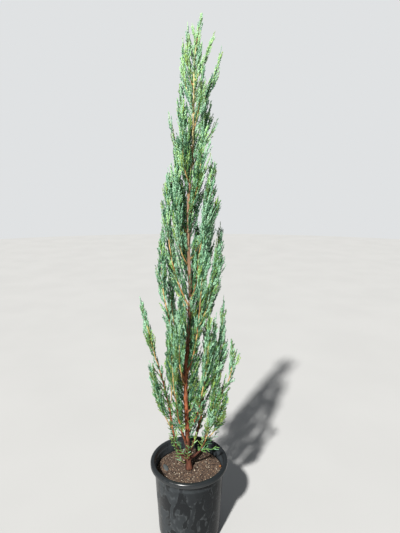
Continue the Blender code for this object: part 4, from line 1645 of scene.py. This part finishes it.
    def grow_shoot(self, zone: Zone, root: Vector, elbow: Vector, tip: Vector,
                   rng: random.Random) -> None:
        """Grow one shoot: a short woody foot, its own string, and slimmer strings beside it.

        Args:
            zone: the part of the crown that it belongs to.
            root: its foot.
            elbow: where it turns upright.
            tip: its point.
            rng: the plume's seeded draws.
        """
        path = interpolate_bezier(root, root.lerp(elbow, 0.6), tip.lerp(elbow, 0.6), tip, 8)
        self.twigs.add(TwigBark.GREEN, path[:3], [0.0007, 0.00065, 0.0005])
        tint = self.tints.deal(root.lerp(tip, 0.6), rng)
        self.grow_string(zone, tint, path, 0.10, 1.0, rng)
        length = (tip - root).length
        azimuth = rng.uniform(0, 360)
        count = int(length / self.string_spacing)
        for index in range(count):
            share = self.string_foot + self.string_span * (index + rng.random()) / count
            foot, along = point_on(path, share)
            reach = min(length * (1.0 - share) * 0.72 + self.tip_room,
                        self.string_length * rng.uniform(0.55, 1.15))
            azimuth += GOLDEN_ANGLE
            lean = self.string_lean + self.string_loose_lean * self.looseness(foot.z)
            bend = foot + turned_from(along, azimuth, lean) * reach * 0.4
            end = bend + (along + self.onward(bend)).normalized() * reach * 0.6
            side = interpolate_bezier(foot, foot.lerp(bend, 0.7), end.lerp(bend, 0.7), end, 5)
            if self.hides_trunk(rng, side[1:]):
                continue
            if rng.random() < self.new_tint:
                tint = self.tints.deal(end, rng)
            self.grow_string(zone, tint, side, 0.0, 0.86, rng)

    def grow_inner(self) -> None:
        """Grow the short shoots that stand straight on the trunk and fill the crown from inside."""
        rng = random.Random("inner shoots")
        azimuth = 40.0
        height = self.trunk_low
        while height < TRUNK_TOP - 0.006:
            azimuth = (azimuth + GOLDEN_ANGLE + rng.uniform(-15, 15)) % 360
            share = (height - self.trunk_low) / (TRUNK_TOP - self.trunk_low)
            reach = self.trunk_shoot * (1.0 - 0.35 * share) * rng.uniform(0.6, 1.1)
            for fill in self.fills:
                reach *= 1.0 + fill.at(azimuth, height)
            closer = 1.0 - self.crowded * peak(height, self.crowded_height, self.crowded_half)
            height += self.trunk_spacing * closer * rng.uniform(0.7, 1.3)
            root = trunk_point(height) + lean_vector(azimuth, 90) * trunk_radius(height) * 0.7
            elbow = root + lean_vector(azimuth, 42) * reach * self.elbow
            tip = elbow + lean_vector(azimuth, 12) * reach * (1 - self.elbow)
            if not self.hides_trunk(rng, bend_places(root, elbow, tip)):
                self.grow_shoot(Zone.at(height, self.trunk_zones), root, elbow, tip, rng)

    def bare_part(self, shoot: Shoot) -> float:
        """Give the share of a bough that is bare from its foot: most on those that leave lowest."""
        if shoot.parent != "trunk":
            return 0.04
        return 0.14 if shoot.foot > 0.24 else 0.34

    def grow_on_boughs(self) -> None:
        """Grow short shoots along the boughs, short near the foot and longer towards the tip."""
        for shoot, _ in self.plan.limbs.values():
            rng = random.Random(f"{shoot.name} shoots")
            path = self.plan.path_of(shoot, 12)
            first = self.bare_part(shoot)
            count = max(3, round(length_of(path) * (1 - first) / self.bough_spacing))
            azimuth = rng.uniform(0, 360)
            for index in range(count):
                share = first + (0.98 - first) * index / (count - 1)
                root, along = point_on(path, share)
                reach = self.bough_shoot * (0.55 + 0.45 * share) * rng.uniform(0.55, 1.15)
                azimuth += GOLDEN_ANGLE + rng.uniform(-20, 20)
                elbow = root + turned_from(along, azimuth, 38) * reach * self.elbow
                tip = elbow + turned_from(along, azimuth, 16) * reach * (1 - self.elbow)
                if not self.hides_trunk(rng, bend_places(root, elbow, tip)):
                    zone = Zone.at(shoot.tip_height, self.bough_zones)
                    self.grow_shoot(zone, root, elbow, tip, rng)

    def grow_sprig(self, shoot: Shoot) -> None:
        """Grow a sprig: one leafy string low down, or a whole shoot high in the crown.

        Args:
            shoot: the sprig.
        """
        rng = random.Random(shoot.name)
        path = self.plan.path_of(shoot, 8)
        self.twigs.add(TwigBark.GREEN, path[:4], [0.0009, 0.0008, 0.0007, 0.0006])
        tint = rng.choice((SprayTint.LIME, SprayTint.LEAF))
        if Zone.at(shoot.tip_height, self.plume_zones) is Zone.HIGH:
            self.grow_shoot(Zone.HIGH, path[1], path[4], path[-1], rng)
        else:
            self.grow_string(Zone.LOW, tint, path, 0.22, 1.15, rng)

    def build(self) -> None:
        """Grow all the plumes and make one piece for each zone and tint."""
        masses: dict[str, list[str]] = {}
        for name, (shoot, _) in self.plan.plumes.items():
            zone = Zone.at(shoot.tip_height, self.plume_zones)
            masses.setdefault(zone.value, []).append(name)
            self.grow_plume(name, zone)
        self.grow_inner()
        self.grow_on_boughs()
        for shoot in SPRIGS:
            self.grow_sprig(shoot)
        finishes = {tint.name: tint.value.make() for tint in SprayTint}
        for (zone, tint), cords in sorted(self.bundles.items()):
            name = f"sprays_{zone}_{tint.lower()}"
            piece = mesh_from_arrays(name, *cords.arrays())
            settle(piece, name, finishes[tint], masses[zone])


# Pot and soil


@dataclass
class NurseryPot:
    """A round pot with a set-back foot, a tapering wall, a rolled lip and faint rings inside."""

    sides: int = 144
    wall_rings: int = 20
    inner_rings: int = 5
    ring_spacing: float = 0.0034
    nib_places: tuple[tuple[float, float], ...] = ((-0.0127, 0.1735), (-0.0070, 0.1740))
    nib_size: tuple[float, float, float] = (0.0011, 0.0014, 0.0042)
    slots: int = 8
    slot_turn: float = 10.0
    slot_depth: float = 0.0011
    warp_size: float = 0.0005

    def profile(self) -> list[tuple[float, float]]:
        """Lay out the wall's outline: up its outside, over the lip and down its inside."""
        under = POT_HEIGHT - LIP_HEIGHT
        rows = [(FOOT_RADIUS - 0.0008, 0.0), (FOOT_RADIUS, 0.0009), (FOOT_RADIUS + 0.0005, 0.0030),
                (FOOT_RADIUS + 0.0008, 0.0105), (FOOT_RADIUS + 0.0012, STEP_HEIGHT - 0.0012),
                (FOOT_RADIUS + 0.0030, STEP_HEIGHT - 0.0004), (BODY_FOOT_RADIUS - 0.0006, STEP_HEIGHT),
                (BODY_FOOT_RADIUS, STEP_HEIGHT + 0.0008)]
        for step in range(1, self.wall_rings):
            share = step / self.wall_rings
            rows.append((BODY_FOOT_RADIUS + share * (BODY_TOP_RADIUS - BODY_FOOT_RADIUS),
                         STEP_HEIGHT + share * (under - STEP_HEIGHT)))
        rows += [(BODY_TOP_RADIUS - 0.0002, under - 0.0012), (BODY_TOP_RADIUS + 0.0006, under - 0.0002),
                 (RIM_RADIUS - 0.0020, under + 0.0001), (RIM_RADIUS - 0.0007, under + 0.0007),
                 (RIM_RADIUS, under + 0.0022), (RIM_RADIUS - 0.0001, under + 0.0058),
                 (RIM_RADIUS - 0.0006, under + 0.0080), (RIM_RADIUS - 0.0018, under + 0.0096),
                 (RIM_RADIUS - 0.0038, POT_HEIGHT - 0.0001), (RIM_RADIUS - 0.0064, POT_HEIGHT),
                 (BODY_TOP_RADIUS + 0.0012, POT_HEIGHT - 0.0004),
                 (BODY_TOP_RADIUS + 0.0001, POT_HEIGHT - 0.0014),
                 (BODY_TOP_RADIUS - 0.0006, POT_HEIGHT - 0.0034)]
        inner = BODY_TOP_RADIUS - POT_WALL
        for ring in range(self.inner_rings):
            height = under - 0.0004 - ring * self.ring_spacing
            wall = inner - (under - height) * (BODY_TOP_RADIUS - BODY_FOOT_RADIUS) / (under - STEP_HEIGHT)
            rows += [(wall, height), (wall - 0.0012, height - 0.0007), (wall - 0.0012, height - 0.0015),
                     (wall - 0.0001, height - 0.0022)]
        foot = FOOT_RADIUS - POT_WALL
        rows += [(BODY_FOOT_RADIUS - POT_WALL, STEP_HEIGHT + POT_WALL), (foot, STEP_HEIGHT),
                 (foot, POT_FLOOR + 0.0008), (foot - 0.0008, POT_FLOOR)]
        return rows

    def cut_slots(self, piece: bpy.types.Object) -> None:
        """Press drainage slots into the foot's side.

        Args:
            piece: the pot's body.
        """
        bpy.ops.object.mode_set(mode="EDIT")
        bpy.ops.mesh.select_mode(type="FACE")
        bpy.ops.mesh.select_all(action="DESELECT")
        work = bmesh.from_edit_mesh(piece.data)
        for face in work.faces:
            centre = face.calc_center_median()
            if not 0.0030 < centre.z < 0.0105 or centre.xy.length < FOOT_RADIUS - 0.0005:
                continue
            turn = math.degrees(math.atan2(centre.y, centre.x)) % (360 / self.slots)
            face.select = turn < self.slot_turn
        bmesh.update_edit_mesh(piece.data)
        bpy.ops.mesh.inset(thickness=0.0004)
        bpy.ops.mesh.extrude_region_shrink_fatten(TRANSFORM_OT_shrink_fatten={"value": -self.slot_depth})
        bpy.ops.object.mode_set(mode="OBJECT")

    def nib(self, across: float, height: float) -> bpy.types.Object:
        """Make one small moulded nib under the lip.

        Args:
            across: how far to the right of the pot's middle it stands.
            height: its height above the underside.

        Returns:
            The nib.
        """
        deep = -math.sqrt(wall_radius(height)**2 - across**2)
        deselect_all()
        bpy.ops.mesh.primitive_cube_add(size=1.0, location=(across, deep, height), scale=self.nib_size)
        bpy.ops.object.transform_apply(location=True, scale=True)
        piece = bpy.context.object
        bpy.ops.object.mode_set(mode="EDIT")
        bpy.ops.mesh.select_all(action="SELECT")
        bpy.ops.mesh.bevel(offset=0.00035, segments=3)
        bpy.ops.object.mode_set(mode="OBJECT")
        return piece

    def warp(self, piece: bpy.types.Object) -> None:
        """Give the thin wall the slight unevenness of a used pot.

        Args:
            piece: the pot's body.
        """
        for vert in piece.data.vertices:
            if vert.co.z < STEP_HEIGHT:
                continue
            swell = noise.noise(vert.co * 22.0) * self.warp_size + noise.noise(vert.co * 60.0) * 0.00012
            wider = 1.0 + swell / max(vert.co.xy.length, 0.01) * 0.5
            vert.co.x *= wider
            vert.co.y *= wider

    def build(self) -> None:
        """Build the pot with its nibs and slots."""
        body = draw_up(self.profile(), self.sides)
        self.cut_slots(body)
        self.warp(body)
        piece = join_all([body, *(self.nib(across, height) for across, height in self.nib_places)])
        bpy.ops.object.shade_smooth_by_angle(angle=math.radians(38))
        settle(piece, "nursery_pot", PotFinish().make(), ["pot"])


@dataclass(frozen=True)
class Chip:
    """A thin chip on the soil: where it lies, half its length and width, and its turn in degrees."""

    tint: GritTint
    across: float
    deep: float
    length: float
    width: float
    turn: float
    corners: int = 9


@dataclass
class PottingSoil:
    """The soil: a crumbly surface, with grit and crumbs lying in it."""

    rings: int = 74
    sides: int = 190
    lump: float = 0.0022
    edge_sink: float = 0.0022
    crumbs: int = 2600
    mix: tuple[tuple[GritTint, float], ...] = (
        (GritTint.CREAM, 0.15), (GritTint.TAN, 0.19), (GritTint.BROWN, 0.42), (GritTint.DARK, 0.24),
    )
    smallest: float = 0.0004
    largest: float = 0.0017
    coarse: float = 1.5
    trunk_room: float = 0.0095
    chips: tuple[Chip, ...] = (
        Chip(GritTint.SLATE, -0.0545, 0.0020, 0.0128, 0.0066, 118.0),
        Chip(GritTint.ORANGE, 0.0735, 0.0085, 0.0028, 0.0018, 70.0),
    )

    def edge_radius(self) -> float:
        """Give the soil's radius at its surface."""
        return wall_radius(SOIL_TOP) - POT_WALL - 0.0004

    def surface(self, across: float, deep: float) -> float:
        """Give the surface's height at a place.

        Args:
            across: how far to the right the place is.
            deep: how far to the back it is.

        Returns:
            The height.
        """
        place = Vector((across, deep, 0.0))
        lumps = noise.noise(place * 95.0) * 0.9 + noise.noise(place * 260.0) * 0.75
        lumps += noise.noise(place * 620.0) * 0.40 + noise.noise(place * 30.0) * 0.8
        sink = self.edge_sink * (place.length / self.edge_radius()) ** 4
        return SOIL_TOP - 0.0008 + min(1.15, lumps) * self.lump * 0.5 - sink

    def bed(self) -> None:
        """Draw the soil's body out of a disc and roughen its top."""
        edge = self.edge_radius()
        foot = FOOT_RADIUS - POT_WALL - GAP
        rows = [(foot, POT_FLOOR + GAP), (foot, STEP_HEIGHT + GAP),
                (BODY_FOOT_RADIUS - POT_WALL - 2 * GAP, STEP_HEIGHT + POT_WALL + 2 * GAP),
                (edge - 0.0004, SOIL_TOP - 0.0080), (edge, SOIL_TOP - 0.0040)]
        rows += [(edge * (1 - step / self.rings) + 0.0002, SOIL_TOP - 0.0020)
                 for step in range(1, self.rings)]
        piece = draw_up(rows, self.sides)
        for vert in piece.data.vertices:
            if vert.co.z > SOIL_TOP - 0.0030:
                vert.co.z = self.surface(vert.co.x, vert.co.y)
        piece.data.shade_smooth()
        settle(piece, "soil_bed", SoilFinish().make(), ["soil"])

    def stone(self, rng: random.Random, size: float, flatness: float) -> tuple[np.ndarray, np.ndarray]:
        """Knock a small stone out of a rounded block.

        Args:
            rng: the seeded draws.
            size: half its length.
            flatness: its height against its length.

        Returns:
            Its points and its triangles, round the origin.
        """
        ring = [(math.cos(turn), math.sin(turn)) for turn in (math.tau * k / 5 for k in range(5))]
        points = [(0.0, 0.0, -1.0)]
        points += [(0.85 * x, 0.85 * y, -0.45) for x, y in ring]
        points += [(0.9 * x * 0.8 - 0.5 * y, 0.9 * y * 0.8 + 0.5 * x, 0.4) for x, y in ring]
        points.append((0.0, 0.0, 1.0))
        faces = []
        for corner in range(5):
            low, high = 1 + corner, 6 + corner
            low_after, high_after = 1 + (corner + 1) % 5, 6 + (corner + 1) % 5
            faces += [(0, low_after, low), (low, low_after, high), (low_after, high_after, high),
                      (high, high_after, 11)]
        table = np.array(points)
        table *= np.array([[rng.uniform(0.72, 1.2) for _ in range(3)] for _ in points])
        turn = rng.uniform(0, math.tau)
        table *= (size, size * rng.uniform(0.6, 1.0), size * flatness)
        return self.spun(table, turn), np.array(faces)

    def spun(self, table: np.ndarray, turn: float) -> np.ndarray:
        """Turn points round the upright axis."""
        across = table[:, 0] * math.cos(turn) - table[:, 1] * math.sin(turn)
        deep = table[:, 0] * math.sin(turn) + table[:, 1] * math.cos(turn)
        return np.stack((across, deep, table[:, 2]), axis=1)

    def split(self, chip: Chip, rng: random.Random) -> tuple[np.ndarray, np.ndarray]:
        """Split off a thin chip with broken edges, lying a little tilted.

        Args:
            chip: its sizes.
            rng: the seeded draws.

        Returns:
            Its points and its triangles, round the origin.
        """
        corners, length = chip.corners, chip.length
        rows = []
        for height, spread in ((-0.0012, 0.86), (0.0, 1.0), (0.0009, 0.90)):
            for corner in range(corners):
                angle = math.tau * corner / corners
                broken = spread * (0.86 + 0.2 * noise.noise(Vector((corner * 3.1, length * 900, 0.0))))
                rows.append((math.cos(angle) * length * broken, math.sin(angle) * chip.width * broken,
                             height + math.cos(angle) * length * 0.12 + rng.uniform(-0.0002, 0.0002)))
        rows += [(0.0, 0.0, -0.0012), (0.0, 0.0, 0.0010)]
        faces = []
        for corner in range(corners):
            after = (corner + 1) % corners
            for low in (0, corners):
                faces += [(low + corner, low + after, low + corners + after),
                          (low + corner, low + corners + after, low + corners + corner)]
            top = 2 * corners
            faces += [(3 * corners, after, corner), (top + corner, top + after, 3 * corners + 1)]
        return self.spun(np.array(rows), math.radians(chip.turn)), np.array(faces)

    def scatter(self) -> None:
        """Lay the grit, the crumbs and the chips on the soil."""
        rng = random.Random(21)
        heaps: dict[GritTint, tuple[list, list]] = {tint: ([], []) for tint in GritTint}
        tints, shares = zip(*self.mix)
        edge = self.edge_radius() - 0.0022
        for _ in range(self.crumbs):
            radius = edge * math.sqrt(rng.random())
            turn = rng.uniform(0, math.tau)
            across, deep = radius * math.cos(turn), radius * math.sin(turn)
            if radius < self.trunk_room:
                continue
            tint = rng.choices(tints, shares)[0]
            size = self.smallest + (self.largest - self.smallest) * rng.random() ** 2.2
            if tint in (GritTint.BROWN, GritTint.DARK):
                size *= self.coarse
            table, faces = self.stone(rng, size, rng.uniform(0.45, 0.9))
            table += (across, deep, self.surface(across, deep) + size * 0.15)
            self.drop(heaps[tint], table, faces)
        for chip in self.chips:
            table, faces = self.split(chip, rng)
            table += (chip.across, chip.deep, self.surface(chip.across, chip.deep) + 0.0016)
            self.drop(heaps[chip.tint], table, faces)
        for tint, (points, faces) in heaps.items():
            finish = tint.value
            piece = mesh_from_arrays(finish.name, np.concatenate(points), np.concatenate(faces))
            settle(piece, finish.name, finish.make(), [])

    def drop(self, pile: tuple[list, list], table: np.ndarray, faces: np.ndarray) -> None:
        """Add one stone to a pile."""
        start = sum(len(part) for part in pile[0])
        pile[0].append(table)
        pile[1].append(faces + start)

    def build(self) -> None:
        """Build the soil and what lies in it."""
        self.bed()
        self.scatter()


# Studio


@dataclass
class Studio:
    """The camera, a pale floor, one sunny light and pale soft surroundings.

    sun_spread is how wide the light looks from the plant, in degrees, and sun_power is in watts for
    each square metre.
    """

    sensor_width: float = 36.0
    floor_radius: float = 7.0
    floor_dark: tuple[float, float, float] = (0.492, 0.492, 0.488)
    floor_light: tuple[float, float, float] = (0.500, 0.500, 0.496)
    sun_place: tuple[float, float, float] = (-0.96, -2.2, 3.0)
    sun_aim: tuple[float, float, float] = (0.0, 0.0, 0.55)
    sun_spread: float = 3.0
    sun_power: float = 6.15
    sun_colour: tuple[float, float, float] = (1.0, 0.985, 0.95)
    soft_colour: tuple[float, float, float] = (0.90, 0.95, 1.0)
    soft_strength: float = 0.20
    backdrop_colour: tuple[float, float, float] = (0.745, 0.760, 0.770)

    def place_camera(self) -> None:
        """Set the camera at the height and the tilt of the photograph."""
        deselect_all()
        turn = (math.radians(90 - CAMERA_PITCH), 0.0, 0.0)
        bpy.ops.object.camera_add(location=CAMERA_PLACE, rotation=turn)
        camera = bpy.context.object
        camera.data.sensor_width = self.sensor_width
        camera.data.lens = FOCAL_LENGTH
        camera.data.clip_start = 0.01
        camera.data.clip_end = 60.0
        bpy.context.scene.camera = camera

    def lay_floor(self) -> None:
        """Lay a wide pale disc for a floor."""
        deselect_all()
        bpy.ops.mesh.primitive_circle_add(vertices=96, radius=self.floor_radius, fill_type="NGON")
        floor = bpy.context.object
        floor.name = "studio_floor"
        nodes = Nodes("floor_pale")
        mottle = nodes.grain(nodes.place, 3.0)
        colour = nodes.blend(nodes.band(mottle, 0.3, 0.7), self.floor_dark, self.floor_light)
        roughness = nodes.band(mottle, 0.3, 0.7, 0.7, 0.8)
        floor.data.materials.append(nodes.finish(colour, roughness, mottle, 0.0001))

    def hang_sun(self) -> None:
        """Hang the one far light: from the front, the left and above."""
        deselect_all()
        away = Vector(self.sun_place) - Vector(self.sun_aim)
        bpy.ops.object.light_add(type="SUN", location=self.sun_place,
                                 rotation=away.to_track_quat("Z", "Y").to_euler())
        light = bpy.context.object
        light.name = "key_light"
        light.data.angle = math.radians(self.sun_spread)
        light.data.energy = self.sun_power
        light.data.color = self.sun_colour

    def set_surroundings(self) -> None:
        """Lighten the shade softly, and show a plain pale backdrop behind the plant."""
        world = bpy.context.scene.world or bpy.data.worlds.new("studio")
        bpy.context.scene.world = world
        world.use_nodes = True
        tree = world.node_tree
        soft = tree.nodes.get("Background")
        soft.inputs["Color"].default_value = (*self.soft_colour, 1.0)
        soft.inputs["Strength"].default_value = self.soft_strength
        seen = tree.nodes.new("ShaderNodeBackground")
        seen.inputs["Color"].default_value = (*self.backdrop_colour, 1.0)
        either = tree.nodes.new("ShaderNodeMixShader")
        ray = tree.nodes.new("ShaderNodeLightPath")
        tree.links.new(ray.outputs["Is Camera Ray"], either.inputs[0])
        tree.links.new(soft.outputs[0], either.inputs[1])
        tree.links.new(seen.outputs[0], either.inputs[2])
        tree.links.new(either.outputs[0], tree.nodes["World Output"].inputs["Surface"])
        bpy.context.scene.view_settings.view_transform = "Standard"


def main() -> None:
    """Build the studio, the wood, the foliage, the pot and the soil."""
    logging.basicConfig(level=logging.INFO, format="%(name)s: %(message)s")
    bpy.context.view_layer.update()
    studio = Studio()
    studio.place_camera()
    plan = JuniperPlan()
    limbs = BarkedLimbs(plan)
    limbs.build_trunk(TRUNK_BARK.make())
    limbs.build_boughs(BOUGH_BARK.make())
    twigs = Twigs()
    Foliage(plan, twigs).build()
    twigs.build(list(plan.plumes))
    NurseryPot().build()
    PottingSoil().build()
    studio.lay_floor()
    studio.hang_sun()
    studio.set_surroundings()
    deselect_all()


if __name__ == "__main__":
    main()
